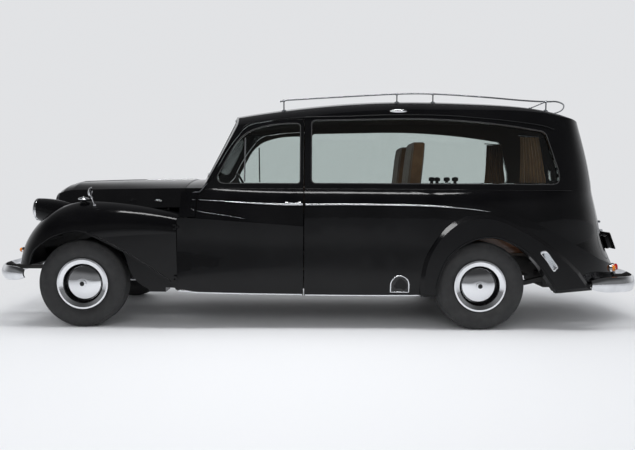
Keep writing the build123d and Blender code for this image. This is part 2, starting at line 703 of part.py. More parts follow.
# ---- inside ------------------------------------------------------------------------------
def make_floor():
    room = level_loft(drawn_rows, shell_thickness + 0.3)
    top = floor_z + floor_thickness
    rear_top = rear_floor_z + floor_thickness
    front = block(bonnet_rear_x + 12, 2700, -790, 790, floor_z, top)
    step = block(2680, 2700, -790, 790, top, rear_top)
    rear = block(2700, 2900, -790, 790, rear_floor_z, rear_top)
    middle = block(2900, 3900, -690, 690, rear_floor_z, rear_top)
    wide = block(3900, 4500, -1000, 1000, rear_floor_z, rear_top) & room
    return front + step + rear + middle + wide


def make_deck():
    room = level_loft(upper_rows, shell_thickness + 0.3)
    plate = block(deck_front_x, 4440, -1000, 1000, deck_z - 12, deck_z + 6) & room
    low = rear_floor_z + floor_thickness
    front = block(deck_front_x, deck_front_x + 18, -690, 690, low, deck_z - 12)
    walls = block(deck_front_x + 18, 3990, -660, -642, low, deck_z - 12)
    board = block(deck_front_x + 60, 4250, -430, 430, deck_z + 6, deck_z + 6 + board_thickness)
    return plate + board + front + walls + right_of(walls)


def make_front_seat():
    base = block(1260, 1640, -560, 560, 490, 640)
    cushion = block(1230, 1680, -600, 600, 640, 770)
    back = side_prism(-600, 600, (1640, 770), (1760, 770), (1850, 1190), (1750, 1200))
    return base + cushion + back


def make_bearer_seats():
    seats = []
    for y in (-370, 370):
        base = block(2440, 2676, y - 180, y + 180, 490, 640)
        cushion = block(2400, 2790, y - 215, y + 215, 640, 760)
        back = side_prism(y - 215, y + 215, (2680, 760), (2800, 760), (2910, 1560), (2880, 1610), (2800, 1600))
        seats.append(base + cushion + back)
    return seats[0] + seats[1]


def make_curtains():
    outer = level_loft(upper_rows, shell_thickness + 14)
    inner = level_loft(upper_rows, shell_thickness + 46)
    cloth = (outer - inner) & block(3760, 4040, -1000, 0, 1196.3, 1700)
    return cloth + right_of(cloth)


def make_dashboard():
    panel = block(872, 1030, -590, 590, 1030, 1100)
    column = rod((880, 370, 980), (1250, 370, 1130), 20)
    axis = Vector(370, 0, 150).normalized()
    rim = Plane(origin=(1250, 370, 1130), z_dir=axis) * Torus(205, 12)
    spokes = Plane(origin=(1250, 370, 1130), z_dir=axis) * (Box(400, 26, 8) + Cylinder(34, 20))
    return panel + column + rim + spokes


def make_rail():
    side = FilletPolyline(
        (1672, -500, 1940), (2200, -500, 1988), (2700, -500, 2019), (3020, -500, 2020),
        (3430, -500, 1998), (3960, -500, 1945), (4230, -440, 1935), (4330, 0, 1925), radius=150,
    )
    tube = sweep(Plane(origin=side @ 0, z_dir=side % 0) * Circle(rail_tube_radius), path=side)
    rail = tube + right_of(tube)
    for x, z in ((1690, 1941), (2684, 2018), (3001, 2020), (3960, 1945)):
        for y in (-500, 500):
            rail = rail + block(x - 7, x + 7, y - 7, y + 7, z - 160, z)
    return rail - under_roof(0.0)


def to_shared_frame(shape):
    """Move a piece from the front axle's frame to the middle of the length, by two reflections."""
    turned_round = mirror(shape, about=Plane.YZ)
    return mirror(turned_round, about=Plane.YZ.offset((front_reach - rear_reach) / 4))


def main():
    """Build every piece and write one file for each."""
    parts = {}
    roof, side, post, door, tail_lid = make_body()
    parts["roof"] = roof
    parts["body_side_left"] = side
    parts["body_side_right"] = right_of(side)
    parts["scuttle"] = make_scuttle(post)
    for z in hinge_heights:
        door = door + hinge_moving(z)
        for side in (-1, 1):
            door = door - Pos(door_front_x, -hinge_y, z + side * 17.3) * Cylinder(hinge_radius + 2, 18)
    parts["front_door_left"] = door
    parts["front_door_right"] = right_of(door)
    parts["tailgate"] = tail_lid
    glass = wall_glass(*front_window)
    parts["door_glass_left"] = glass
    parts["door_glass_right"] = right_of(glass)
    pane = wall_glass(*rear_window)
    parts["side_glass"] = pane + right_of(pane)
    skin = level_loft(upper_rows, glass_depth) - level_loft(upper_rows, glass_depth + glass_thickness)
    parts["tailgate_glass"] = skin & end_prism(4200.0, 5000.0, *tail_window, grow=-glass_play)
    screen = before_screen(glass_depth + glass_thickness) - before_screen(glass_depth)
    parts["windscreen"] = screen & end_prism(700.0, 1560.0, *screen_opening, grow=-glass_play)
    bonnet, spine = make_bonnet()
    parts["bonnet_left"] = bonnet
    parts["bonnet_right"] = right_of(bonnet)
    wing = make_front_wing()
    parts["front_wing_left"] = wing
    parts["front_wing_right"] = right_of(wing)
    rear_wing = make_rear_wing(side)
    parts["rear_wing_left"] = rear_wing
    parts["rear_wing_right"] = right_of(rear_wing)
    parts["radiator_grille"] = make_grille() + spine
    parts["engine"] = make_engine()
    parts["front_bumper"] = make_bumper_front()
    parts["rear_bumper"] = make_bumper_rear()
    parts["chassis_frame"] = make_frame()
    wheel, tyre = make_wheel(), make_tyre()
    for corner, x, track in (("front", 0.0, front_track), ("rear", wheelbase, rear_track)):
        near_wheel, near_tyre = at_wheel(wheel, x, track), at_wheel(tyre, x, track)
        parts[f"wheel_{corner}_left"] = near_wheel
        parts[f"wheel_{corner}_right"] = right_of(near_wheel)
        parts[f"tyre_{corner}_left"] = near_tyre
        parts[f"tyre_{corner}_right"] = right_of(near_tyre)
    knuckle = make_knuckle()
    parts["knuckle_left"] = knuckle
    parts["knuckle_right"] = right_of(knuckle)
    arms = make_front_suspension()
    parts["front_suspension"] = arms + right_of(arms)
    parts["rear_axle"] = make_rear_axle()
    parts["exhaust"] = make_exhaust()
    parts["fuel_tank"] = block(4050, 4500, -410, 100, 290, 400)
    parts["floor"] = make_floor()
    parts["load_deck"] = make_deck()
    parts["front_seat"] = make_front_seat()
    parts["bearer_seats"] = make_bearer_seats()
    parts["curtains"] = make_curtains()
    parts["dashboard"] = make_dashboard()
    parts["roof_rail"] = make_rail()
    parts["lamps"] = make_lamps()
    os.makedirs("parts", exist_ok=True)
    for name, shape in parts.items():
        print(name, round(shape.volume / 1e6, 2), len(shape.solids()), shape.is_valid)
        export_step(to_shared_frame(shape), f"parts/{name}.step")


if __name__ == "__main__":
    main()
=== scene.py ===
import math
import bmesh
import bpy
from mathutils import Euler, Matrix, Vector
from mathutils.bvhtree import BVHTree


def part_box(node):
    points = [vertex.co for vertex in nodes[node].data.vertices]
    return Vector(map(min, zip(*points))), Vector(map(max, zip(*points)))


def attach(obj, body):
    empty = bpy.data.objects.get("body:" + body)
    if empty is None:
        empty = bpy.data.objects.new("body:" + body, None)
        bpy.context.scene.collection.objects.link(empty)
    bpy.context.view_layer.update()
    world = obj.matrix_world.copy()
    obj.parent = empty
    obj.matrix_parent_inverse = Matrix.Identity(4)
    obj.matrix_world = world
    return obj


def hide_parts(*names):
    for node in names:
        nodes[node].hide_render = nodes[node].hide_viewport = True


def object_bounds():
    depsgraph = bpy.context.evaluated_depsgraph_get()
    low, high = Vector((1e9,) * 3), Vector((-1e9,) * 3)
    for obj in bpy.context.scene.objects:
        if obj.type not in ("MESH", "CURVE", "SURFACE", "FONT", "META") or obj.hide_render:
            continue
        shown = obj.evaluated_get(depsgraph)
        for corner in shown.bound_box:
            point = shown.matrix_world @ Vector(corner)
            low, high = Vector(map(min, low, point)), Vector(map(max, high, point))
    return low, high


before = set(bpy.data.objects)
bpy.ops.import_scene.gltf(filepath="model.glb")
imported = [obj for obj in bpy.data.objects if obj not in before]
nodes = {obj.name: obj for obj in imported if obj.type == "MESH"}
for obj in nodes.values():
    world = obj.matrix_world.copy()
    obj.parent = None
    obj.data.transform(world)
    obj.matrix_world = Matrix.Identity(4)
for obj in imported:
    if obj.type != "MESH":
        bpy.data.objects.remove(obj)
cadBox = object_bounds()
axleShift = -2.0155          # the tables below measure x from the front axle line
hubHeight = 0.370
wheelbase = 3.353
print("frame loaded,", len(nodes), "nodes")


def at(x, y, z):
    return Vector((x + axleShift, y, z))


def addObject(name, data):
    made = bpy.data.objects.new(name, data)
    bpy.context.scene.collection.objects.link(made)
    return made


# camera and lamps
view = {"lens": 34.92, "sensor": 36.0, "pitch": 3.715, "roll": 0.25, "shift": 0.0087,
        "place": (-0.074, -5.985, 1.212)}
cameraData = bpy.data.cameras.new("sideView")
cameraData.lens = view["lens"]
cameraData.sensor_width = view["sensor"]
cameraData.shift_x = view["shift"]
camera = addObject("sideView", cameraData)
turn = Euler((math.radians(90 - view["pitch"]), 0, 0)).to_matrix().to_4x4()
roll = Matrix.Rotation(math.radians(view["roll"]), 4, "Z")
camera.matrix_world = Matrix.Translation(view["place"]) @ turn @ roll
bpy.context.scene.camera = camera
bpy.context.scene.view_settings.view_transform = "Standard"

lampTable = (
    # name, place, aim, width, length, watts, seen in reflections
    ("overhead", (0.0, -0.6, 5.2), (0.0, 0.0, 0.8), 6.0, 3.0, 120, False),
    ("strip", (-0.2, -1.5, 4.6), (0.0, 0.0, 0.8), 5.0, 0.45, 110, True),
    ("nearSide", (-1.0, -6.5, 3.4), (0.0, 0.0, 0.7), 5.0, 1.6, 75, False),
    ("farSide", (0.5, 6.5, 3.6), (0.0, 0.0, 0.8), 6.0, 2.0, 150, False),
)
for lampName, place, aim, width, length, watts, inReflections in lampTable:
    lampData = bpy.data.lights.new(lampName, "AREA")
    lampData.shape = "RECTANGLE"
    lampData.size = width
    lampData.size_y = length
    lampData.energy = watts
    lamp = addObject(lampName, lampData)
    towards = (Vector(aim) - Vector(place)).to_track_quat("-Z", "Y")
    lamp.matrix_world = Matrix.Translation(place) @ towards.to_matrix().to_4x4()
    lamp.visible_glossy = inReflections


def link(tree, *joins):
    for source, target in joins:
        tree.links.new(source, target)


# a node with its settings, and the values of inputs that nothing is linked to
def addNode(tree, kind, values=None, **settings):
    node = tree.nodes.new(kind)
    for key, value in settings.items():
        setattr(node, key, value)
    for socket, value in (values or {}).items():
        node.inputs[socket].default_value = value
    return node


def eased(tree, start, end, low=0.0, high=1.0):
    values = {"From Min": start, "From Max": end, "To Min": low, "To Max": high}
    return addNode(tree, "ShaderNodeMapRange", values, interpolation_type="SMOOTHSTEP")


# the world is one thing to the camera, another to the light on the car, and a third in its reflections
studio = {"sky": (0.87, 0.88, 0.90), "skyLight": 0.62, "background": 0.87, "floor": (0.80, 0.81, 0.83),
          "floorReach": 40, "floorRoughness": 0.6,
          "mirrorDark": 0.22, "mirrorBright": 0.80, "mirrorTurn": (-0.25, 0.55), "mirrorTop": (0.22, 0.55),
          "fade": (0.9, 3.2), "sideFade": (2.85, 3.5), "farFade": (4.2, 6.5)}
skyColour = (*studio["sky"], 1)
world = bpy.data.worlds.new("studio")
world.use_nodes = True
bpy.context.scene.world = world
sky = world.node_tree
sky.nodes.clear()
out = addNode(sky, "ShaderNodeOutputWorld")
seen = addNode(sky, "ShaderNodeBackground", {"Color": skyColour, "Strength": studio["background"]})
lit = addNode(sky, "ShaderNodeBackground", {"Color": skyColour, "Strength": studio["skyLight"]})
# reflections see a pale backdrop behind the car and a dark studio on the camera's side
mirrored = addNode(sky, "ShaderNodeBackground", {"Color": skyColour})
direction = addNode(sky, "ShaderNodeTexCoord")
parts = addNode(sky, "ShaderNodeSeparateXYZ")
sideways = eased(sky, *studio["mirrorTurn"], studio["mirrorDark"], studio["mirrorBright"])
overhead = eased(sky, *studio["mirrorTop"], 1.0, studio["mirrorDark"])
shaded = addNode(sky, "ShaderNodeMath", operation="MULTIPLY")
rays = addNode(sky, "ShaderNodeLightPath")
direct = addNode(sky, "ShaderNodeMath", operation="MAXIMUM")
pickSeen = addNode(sky, "ShaderNodeMixShader")
pickMirrored = addNode(sky, "ShaderNodeMixShader")
link(sky,
     (direction.outputs["Generated"], parts.inputs[0]),
     (parts.outputs["Y"], sideways.inputs["Value"]),
     (parts.outputs["Z"], overhead.inputs["Value"]),
     (sideways.outputs["Result"], shaded.inputs[0]),
     (overhead.outputs["Result"], shaded.inputs[1]),
     (shaded.outputs[0], mirrored.inputs["Strength"]),
     (rays.outputs["Is Camera Ray"], direct.inputs[0]),
     (rays.outputs["Is Transmission Ray"], direct.inputs[1]),
     (rays.outputs["Is Glossy Ray"], pickMirrored.inputs[0]),
     (lit.outputs[0], pickMirrored.inputs[1]),
     (mirrored.outputs[0], pickMirrored.inputs[2]),
     (direct.outputs[0], pickSeen.inputs[0]),
     (pickMirrored.outputs[0], pickSeen.inputs[1]),
     (seen.outputs[0], pickSeen.inputs[2]),
     (pickSeen.outputs[0], out.inputs[0]))

# finishes: two colours in soft patches, with a fine grain in relief where bump is given
surface = {"patchDetail": 6, "patchEdges": (0.35, 0.65), "coatRoughness": 0.03, "reliefHeight": 0.001,
           "weaveDistortion": 1.5, "lighter": 1.25}
grainKinds = {"noise": ("ShaderNodeTexNoise", "Fac"), "cell": ("ShaderNodeTexVoronoi", "Distance"),
              "weave": ("ShaderNodeTexWave", "Fac")}


def newFinish(name):
    material = bpy.data.materials.new(name)
    material.use_nodes = True
    return material, material.node_tree, material.node_tree.nodes["Principled BSDF"]


def finish(name, colour, second=None, roughness=0.5, roughSpread=0.0, metallic=0.0, coat=0.0, sheen=0.0,
           specular=0.5, patchScale=6.0, bump=0.0, bumpScale=400.0, bumpKind="noise", stretch=(1, 1, 1)):
    material, tree, shader = newFinish(name)
    second = second or [c * surface["lighter"] for c in colour]
    patchLow, patchHigh = surface["patchEdges"]
    coords = addNode(tree, "ShaderNodeTexCoord")
    mapping = addNode(tree, "ShaderNodeMapping", {"Scale": stretch})
    patches = addNode(tree, "ShaderNodeTexNoise", {"Scale": patchScale, "Detail": surface["patchDetail"]})
    tint = addNode(tree, "ShaderNodeMix", {"A": (*colour, 1), "B": (*second, 1)}, data_type="RGBA")
    contrast = addNode(tree, "ShaderNodeMapRange", {"From Min": patchLow, "From Max": patchHigh})
    rough = addNode(tree, "ShaderNodeMapRange", {"To Min": max(0.0, roughness - roughSpread),
                                                 "To Max": min(1.0, roughness + roughSpread)})
    for socket, value in (("Metallic", metallic), ("Coat Weight", coat), ("Sheen Weight", sheen),
                          ("Coat Roughness", surface["coatRoughness"]), ("Specular IOR Level", specular)):
        shader.inputs[socket].default_value = value
    link(tree,
         (coords.outputs["Object"], mapping.inputs["Vector"]),
         (mapping.outputs["Vector"], patches.inputs["Vector"]),
         (patches.outputs["Fac"], contrast.inputs["Value"]),
         (contrast.outputs["Result"], tint.inputs["Factor"]),
         (tint.outputs["Result"], shader.inputs["Base Color"]),
         (patches.outputs["Fac"], rough.inputs["Value"]),
         (rough.outputs["Result"], shader.inputs["Roughness"]))
    if bump:
        kind, heightSocket = grainKinds[bumpKind]
        grain = addNode(tree, kind, {"Scale": bumpScale})
        if bumpKind == "weave":
            grain.bands_direction = "DIAGONAL"
            grain.inputs["Distortion"].default_value = surface["weaveDistortion"]
        relief = addNode(tree, "ShaderNodeBump", {"Strength": bump, "Distance": surface["reliefHeight"]})
        link(tree,
             (mapping.outputs["Vector"], grain.inputs["Vector"]),
             (grain.outputs[heightSocket], relief.inputs["Height"]),
             (relief.outputs["Normal"], shader.inputs["Normal"]))
    return material


paintFacts = {"colour": (0.0022, 0.0022, 0.0026), "second": (0.004, 0.004, 0.0045), "roughness": 0.12,
              "roughSpread": 0.04, "specular": 0.14, "coat": 0.22, "patchScale": 3.0,
              "bump": 0.02, "bumpScale": 260.0}
blackPaint = finish("blackPaint", **paintFacts)
chassisBlack = finish("chassisBlack", (0.012, 0.012, 0.012), (0.035, 0.032, 0.03),
                      roughness=0.62, roughSpread=0.12, patchScale=9.0, bump=0.25, bumpScale=180.0)
chrome = finish("chrome", (0.80, 0.81, 0.83), (0.72, 0.73, 0.75), roughness=0.07, roughSpread=0.04,
                metallic=1.0, patchScale=14.0)
satinChrome = finish("satinChrome", (0.34, 0.35, 0.37), (0.27, 0.28, 0.30), roughness=0.2, roughSpread=0.06,
                     metallic=1.0, patchScale=20.0)
dullSteel = finish("dullSteel", (0.30, 0.28, 0.26), (0.20, 0.15, 0.11), roughness=0.48, roughSpread=0.12,
                   metallic=0.9, patchScale=16.0, bump=0.2, bumpScale=300.0)
rubber = finish("rubber", (0.022, 0.022, 0.023), (0.034, 0.034, 0.034), roughness=0.78, roughSpread=0.1,
                patchScale=18.0, bump=0.25, bumpScale=500.0)
carpet = finish("carpet", (0.035, 0.028, 0.024), (0.06, 0.048, 0.04), roughness=0.96, sheen=0.3,
                patchScale=60.0, bump=0.8, bumpScale=900.0)
leather = finish("leather", (0.075, 0.028, 0.012), (0.12, 0.05, 0.022), roughness=0.42, roughSpread=0.1,
                 patchScale=7.0, bump=0.45, bumpScale=420.0, bumpKind="cell")
drapeCloth = finish("drapeCloth", (0.16, 0.085, 0.035), (0.24, 0.13, 0.06), roughness=0.9, sheen=0.4,
                    patchScale=5.0, bump=0.5, bumpScale=850.0, bumpKind="weave")
seatCloth = finish("seatCloth", (0.17, 0.085, 0.04), (0.24, 0.125, 0.06), roughness=0.88, sheen=0.5,
                   patchScale=8.0, bump=0.5, bumpScale=900.0, bumpKind="weave")
polishedWood = finish("polishedWood", (0.10, 0.035, 0.012), (0.22, 0.09, 0.03), roughness=0.28,
                      roughSpread=0.05, coat=0.6, patchScale=14.0, stretch=(0.15, 1, 1), bump=0.1,
                      bumpScale=60.0)
amberPlastic = finish("amberPlastic", (0.75, 0.22, 0.015), roughness=0.2, coat=0.8, patchScale=30.0)
redPlastic = finish("redPlastic", (0.45, 0.01, 0.008), roughness=0.2, coat=0.8, patchScale=30.0)

glassFacts = {"roughness": 0.02, "bend": 1.45}


def clearFinish(name, tint):
    material, tree, shader = newFinish(name)
    clear = addNode(tree, "ShaderNodeBsdfTransparent", {"Color": (*tint, 1)})
    gloss = addNode(tree, "ShaderNodeBsdfGlossy", {"Roughness": glassFacts["roughness"]})
    edge = addNode(tree, "ShaderNodeFresnel", {"IOR": glassFacts["bend"]})
    mixed = addNode(tree, "ShaderNodeMixShader")
    tree.nodes.remove(shader)
    link(tree,
         (edge.outputs[0], mixed.inputs[0]),
         (clear.outputs[0], mixed.inputs[1]),
         (gloss.outputs[0], mixed.inputs[2]),
         (mixed.outputs[0], tree.nodes["Material Output"].inputs["Surface"]))
    return material


glass = clearFinish("glass", (0.86, 0.89, 0.88))
lampGlass = clearFinish("lampGlass", (0.92, 0.94, 0.95))

# paint outside, brown cloth on the faces that look in at the cabin
lining = {"colour": (0.055, 0.036, 0.024, 1), "roughness": 0.95, "sheen": 0.2, "eyeHeight": 1.1,
          "inward": -0.3, "lowest": 0.90}


def linedFinish(name):
    material = finish(name, **paintFacts)
    tree = material.node_tree
    cloth = addNode(tree, "ShaderNodeBsdfPrincipled", {"Base Color": lining["colour"],
                                                       "Roughness": lining["roughness"],
                                                       "Sheen Weight": lining["sheen"]})
    geometry = addNode(tree, "ShaderNodeNewGeometry")
    middle = addNode(tree, "ShaderNodeVectorMath", {1: (0, 0, lining["eyeHeight"])}, operation="SUBTRACT")
    flat = addNode(tree, "ShaderNodeVectorMath", {1: (0, 1, 1)}, operation="MULTIPLY")
    facing = addNode(tree, "ShaderNodeVectorMath", operation="DOT_PRODUCT")
    inside = addNode(tree, "ShaderNodeMath", {1: lining["inward"]}, operation="LESS_THAN")
    height = addNode(tree, "ShaderNodeSeparateXYZ")
    above = addNode(tree, "ShaderNodeMath", {1: lining["lowest"]}, operation="GREATER_THAN")
    both = addNode(tree, "ShaderNodeMath", operation="MULTIPLY")
    mixed = addNode(tree, "ShaderNodeMixShader")
    link(tree,
         (geometry.outputs["Position"], height.inputs[0]),
         (height.outputs["Z"], above.inputs[0]),
         (geometry.outputs["Position"], middle.inputs[0]),
         (middle.outputs["Vector"], flat.inputs[0]),
         (flat.outputs["Vector"], facing.inputs[0]),
         (geometry.outputs["Normal"], facing.inputs[1]),
         (facing.outputs["Value"], inside.inputs[0]),
         (inside.outputs[0], both.inputs[0]),
         (above.outputs[0], both.inputs[1]),
         (both.outputs[0], mixed.inputs[0]),
         (tree.nodes["Principled BSDF"].outputs[0], mixed.inputs[1]),
         (cloth.outputs[0], mixed.inputs[2]),
         (mixed.outputs[0], tree.nodes["Material Output"].inputs["Surface"]))
    return material


linedPaint = linedFinish("linedPaint")

finishTable = (
    (chassisBlack, "chassis_frame engine front_suspension rear_axle fuel_tank knuckle_left knuckle_right"),
    (chrome, "front_bumper rear_bumper radiator_grille roof_rail lamps"),
    (glass, "door_glass_left door_glass_right side_glass tailgate_glass windscreen"),
    (linedPaint, "roof body_side_left body_side_right front_door_left front_door_right"),
    (dullSteel, "exhaust"), (carpet, "floor"), (polishedWood, "load_deck dashboard"), (leather, "front_seat"),
    (drapeCloth, "bearer_seats curtains"),
)
nodeFinish = {name: rubber if name.startswith("tyre_") else blackPaint for name in nodes}
for material, nodeNames in finishTable:
    nodeFinish.update({name: material for name in nodeNames.split()})


def wear(nodeName, material):
    mesh = nodes[nodeName].data
    mesh.materials.clear()
    mesh.materials.append(material)


for nodeName, material in nodeFinish.items():
    wear(nodeName, material)


# the floor takes the backdrop's own colour in the distance, for the camera only
def floorFinish():
    material = finish("studioFloor", studio["floor"], studio["floor"], roughness=studio["floorRoughness"])
    tree = material.node_tree
    backdrop = addNode(tree, "ShaderNodeEmission", {"Color": skyColour, "Strength": studio["background"]})
    geometry = addNode(tree, "ShaderNodeNewGeometry")
    place = addNode(tree, "ShaderNodeSeparateXYZ")
    spread = addNode(tree, "ShaderNodeMath", operation="ABSOLUTE")
    distance = addNode(tree, "ShaderNodeVectorMath", operation="LENGTH")
    behind = eased(tree, *studio["fade"])
    beside = eased(tree, *studio["sideFade"])
    beyond = eased(tree, *studio["farFade"])
    sides = addNode(tree, "ShaderNodeMath", operation="MAXIMUM")
    either = addNode(tree, "ShaderNodeMath", operation="MAXIMUM")
    rays = addNode(tree, "ShaderNodeLightPath")
    seen = addNode(tree, "ShaderNodeMath", operation="MULTIPLY")
    mixed = addNode(tree, "ShaderNodeMixShader")
    link(tree,
         (geometry.outputs["Position"], place.inputs[0]),
         (geometry.outputs["Position"], distance.inputs[0]),
         (place.outputs["X"], spread.inputs[0]),
         (place.outputs["Y"], behind.inputs["Value"]),
         (spread.outputs[0], beside.inputs["Value"]),
         (distance.outputs["Value"], beyond.inputs["Value"]),
         (behind.outputs["Result"], sides.inputs[0]),
         (beside.outputs["Result"], sides.inputs[1]),
         (sides.outputs[0], either.inputs[0]),
         (beyond.outputs["Result"], either.inputs[1]),
         (rays.outputs["Is Camera Ray"], seen.inputs[0]),
         (either.outputs[0], seen.inputs[1]),
         (seen.outputs[0], mixed.inputs[0]),
         (tree.nodes["Principled BSDF"].outputs[0], mixed.inputs[1]),
         (backdrop.outputs[0], mixed.inputs[2]),
         (mixed.outputs[0], tree.nodes["Material Output"].inputs["Surface"]))
    return material


reach = studio["floorReach"]
floorMesh = bpy.data.meshes.new("studioFloor")
floorMesh.from_pydata([(-reach, -reach, 0), (reach, -reach, 0), (reach, reach, 0), (-reach, reach, 0)],
                      [], [(0, 1, 2, 3)])
floorMesh.materials.append(floorFinish())
studioFloor = addObject("studioFloor", floorMesh)

# shaping tools
sharpAngle = math.radians(38)
mergeDistance = 1e-6
down, upwards = Vector((0, 0, -1)), Vector((0, 0, 1))
forwards, rearwards = Vector((-1, 0, 0)), Vector((1, 0, 0))
inwards = Vector((0, 1, 0))          # from the left side to the middle
outwards = Vector((0, -1, 0))


def fromBmesh(name, mesh, material):
    for face in mesh.faces:
        face.smooth = True
    data = bpy.data.meshes.new(name)
    mesh.to_mesh(data)
    mesh.free()
    data.materials.append(material)
    return addObject(name, data)


# each shell is a list of rings with equal numbers of points, and whether the last ring joins the first
def makePiece(name, shells, material, body):
    mesh = bmesh.new()
    for rings, joined in shells:
        rows = [[mesh.verts.new(point) for point in ring] for ring in rings]
        pairs = list(zip(rows, rows[1:])) + ([(rows[-1], rows[0])] if joined else [])
        count = len(rows[0])
        for first, following in pairs:
            for i in range(count):
                k = (i + 1) % count
                mesh.faces.new((first[i], first[k], following[k], following[i]))
        if not joined:
            mesh.faces.new(rows[0])
            mesh.faces.new(rows[-1])
    # nothing stands out past the solids' own box
    for vert in mesh.verts:
        vert.co = Vector([min(max(value, low), high) for value, low, high in zip(vert.co, *cadBox)])
    bmesh.ops.remove_doubles(mesh, verts=mesh.verts, dist=mergeDistance)
    bmesh.ops.recalc_face_normals(mesh, faces=mesh.faces)
    for edge in mesh.edges:
        if len(edge.link_faces) == 2 and edge.calc_face_angle(0) > sharpAngle:
            edge.smooth = False
    piece = fromBmesh(name, mesh, material)
    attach(piece, body)
    return piece


def acrossMiddle(shells):
    return [([[Vector((p.x, -p.y, p.z)) for p in ring] for ring in rings], joined) for rings, joined in shells]


def bothSides(shells):
    return shells + acrossMiddle(shells)


# one piece on each side, riding on its own body
def makePair(name, shells, material, bodies):
    left = makePiece(name + "Left", shells, material, bodies[0])
    right = makePiece(name + "Right", acrossMiddle(shells), material, bodies[1])
    return left, right


def smoothPath(points, spacing=0.03, closed=False):
    points = [Vector(p) for p in points]
    if closed:
        padded = [points[-1]] + points + points[:2]
    else:
        padded = [2 * points[0] - points[1]] + points + [2 * points[-1] - points[-2]]
    path = []
    for a, b, c, d in zip(padded, padded[1:], padded[2:], padded[3:]):
        steps = max(1, round((c - b).length / spacing))
        for i in range(steps):
            t = i / steps
            path.append(0.5 * (2 * b + (c - a) * t + (2 * a - 5 * b + 4 * c - d) * t * t
                               + (3 * b - a - 3 * c + d) * t ** 3))
    return path if closed else path + [points[-1]]


def frameAlong(path, closed=False):
    frames = []
    side = None
    for i, point in enumerate(path):
        ahead = path[(i + 1) % len(path)] if closed or i + 1 < len(path) else point
        behind = path[i - 1] if closed or i else point
        along = (ahead - behind).normalized()
        if side is None:
            side = along.orthogonal().normalized()
        side = (side - along * side.dot(along)).normalized()
        frames.append((point, along, side, along.cross(side)))
    return frames


def circleAt(centre, side, up, radius, count):
    return [centre + (side * math.cos(a) + up * math.sin(a)) * radius
            for a in (2 * math.pi * k / count for k in range(count))]


def tube(points, radius, sides=12, closed=False, spacing=0.03):
    frames = frameAlong(smoothPath(points, spacing, closed), closed)
    return ([circleAt(point, side, up, radius, sides) for point, _, side, up in frames], closed)


# a profile of radius and distance along the axis, turned round it
def turned(centre, axis, profile, segments=48, closed=False):
    axis = Vector(axis).normalized()
    side = axis.orthogonal().normalized()
    up = axis.cross(side)
    return ([circleAt(Vector(centre) + axis * along, side, up, radius, segments) for radius, along in profile],
            closed)


# a plate with softened edges; the outline is in the plane of two directions about a centre
def slab(centre, right, up, outline, thickness, edge=0.002):
    right, up = Vector(right).normalized(), Vector(up).normalized()
    out = right.cross(up)
    middle = Vector((sum(p[0] for p in outline) / len(outline), sum(p[1] for p in outline) / len(outline)))
    reach = max((Vector(p) - middle).length for p in outline)
    rings = []
    for depth, shrink in ((0, edge), (edge, 0), (thickness - edge, 0), (thickness, edge)):
        ring = []
        for p in outline:
            flat = middle + (Vector(p) - middle) * (1 - shrink / reach)
            ring.append(Vector(centre) + right * flat.x + up * flat.y + out * depth)
        rings.append(ring)
    return (rings, False)


def rounded(width, height, radius, steps=5):
    outline = []
    for cx, cy, start in ((1, 1, 0), (-1, 1, 90), (-1, -1, 180), (1, -1, 270)):
        for k in range(steps + 1):
            a = math.radians(start + 90 * k / steps)
            outline.append((cx * (width / 2 - radius) + radius * math.cos(a),
                            cy * (height / 2 - radius) + radius * math.sin(a)))
    return outline


def skinOf(*names):
    points, faces = [], []
    for nodeName in names:
        base = len(points)
        mesh = nodes[nodeName].data
        points += [v.co.copy() for v in mesh.vertices]
        faces += [[base + i for i in face.vertices] for face in mesh.polygons]
    return BVHTree.FromPolygons(points, faces)


# where a line of sight first meets a skin, and the way the surface faces there
def meet(skin, start, heading):
    place, normal, _, _ = skin.ray_cast(start, heading)
    if place is None:
        return None, None
    return place, normal if normal.dot(heading) < 0 else -normal


# seen from the left; a place that falls in a gap is looked for a little higher
sideSearch = {"from": -1.2, "rise": 0.004, "tries": 20}


def sideHit(skin, x, z):
    for number in range(sideSearch["tries"]):
        start = Vector((x + axleShift, sideSearch["from"], z + sideSearch["rise"] * number))
        place, normal = meet(skin, start, inwards)
        if place is not None:
            return place, normal
    raise ValueError(f"nothing at {x}, {z}")


# a half-round moulding laid on a surface: the path is x, z and width, and narrow stretches are lower
mouldingFacts = {"steps": 6, "fullHalfWidth": 0.004, "sunk": 0.0015}


def moulding(skin, path, proud, spacing=0.03, closed=False):
    fine = smoothPath(path, spacing, closed)
    seats = [sideHit(skin, p.x, p.y) for p in fine]
    steps, sunk = mouldingFacts["steps"], mouldingFacts["sunk"]
    rings = []
    for i, (place, normal) in enumerate(seats):
        ahead = seats[(i + 1) % len(seats)][0] if closed or i + 1 < len(seats) else place
        behind = seats[i - 1][0] if closed or i else place
        across = normal.cross((ahead - behind).normalized()).normalized()
        half = fine[i].z / 2
        lower = min(1, half / mouldingFacts["fullHalfWidth"])
        ring = [place + across * half * math.cos(a) + normal * (proud * lower * math.sin(a))
                for a in (math.pi * k / steps for k in range(steps + 1))]
        ring += [place - across * half - normal * sunk, place + across * half - normal * sunk]
        rings.append(ring)
    return (rings, closed)


# an outline in x and z, grown about a centre and laid on the side at a height
def laidRing(outline, centre, grow, height):
    ring = []
    middleX, middleZ = centre
    for x, z in outline:
        place, normal = sideHit(sideSkin, middleX + (x - middleX) * grow, middleZ + (z - middleZ) * grow)
        ring.append(place + normal * height)
    return ring


frontDoors = ("front_door_left", "front_door_right")
doorSkin = skinOf("front_door_left")
sideSkin = skinOf("body_side_left", "rear_wing_left")
upperSkin = skinOf("roof", "body_side_left", "scuttle")
wingSkin = skinOf("front_wing_left")

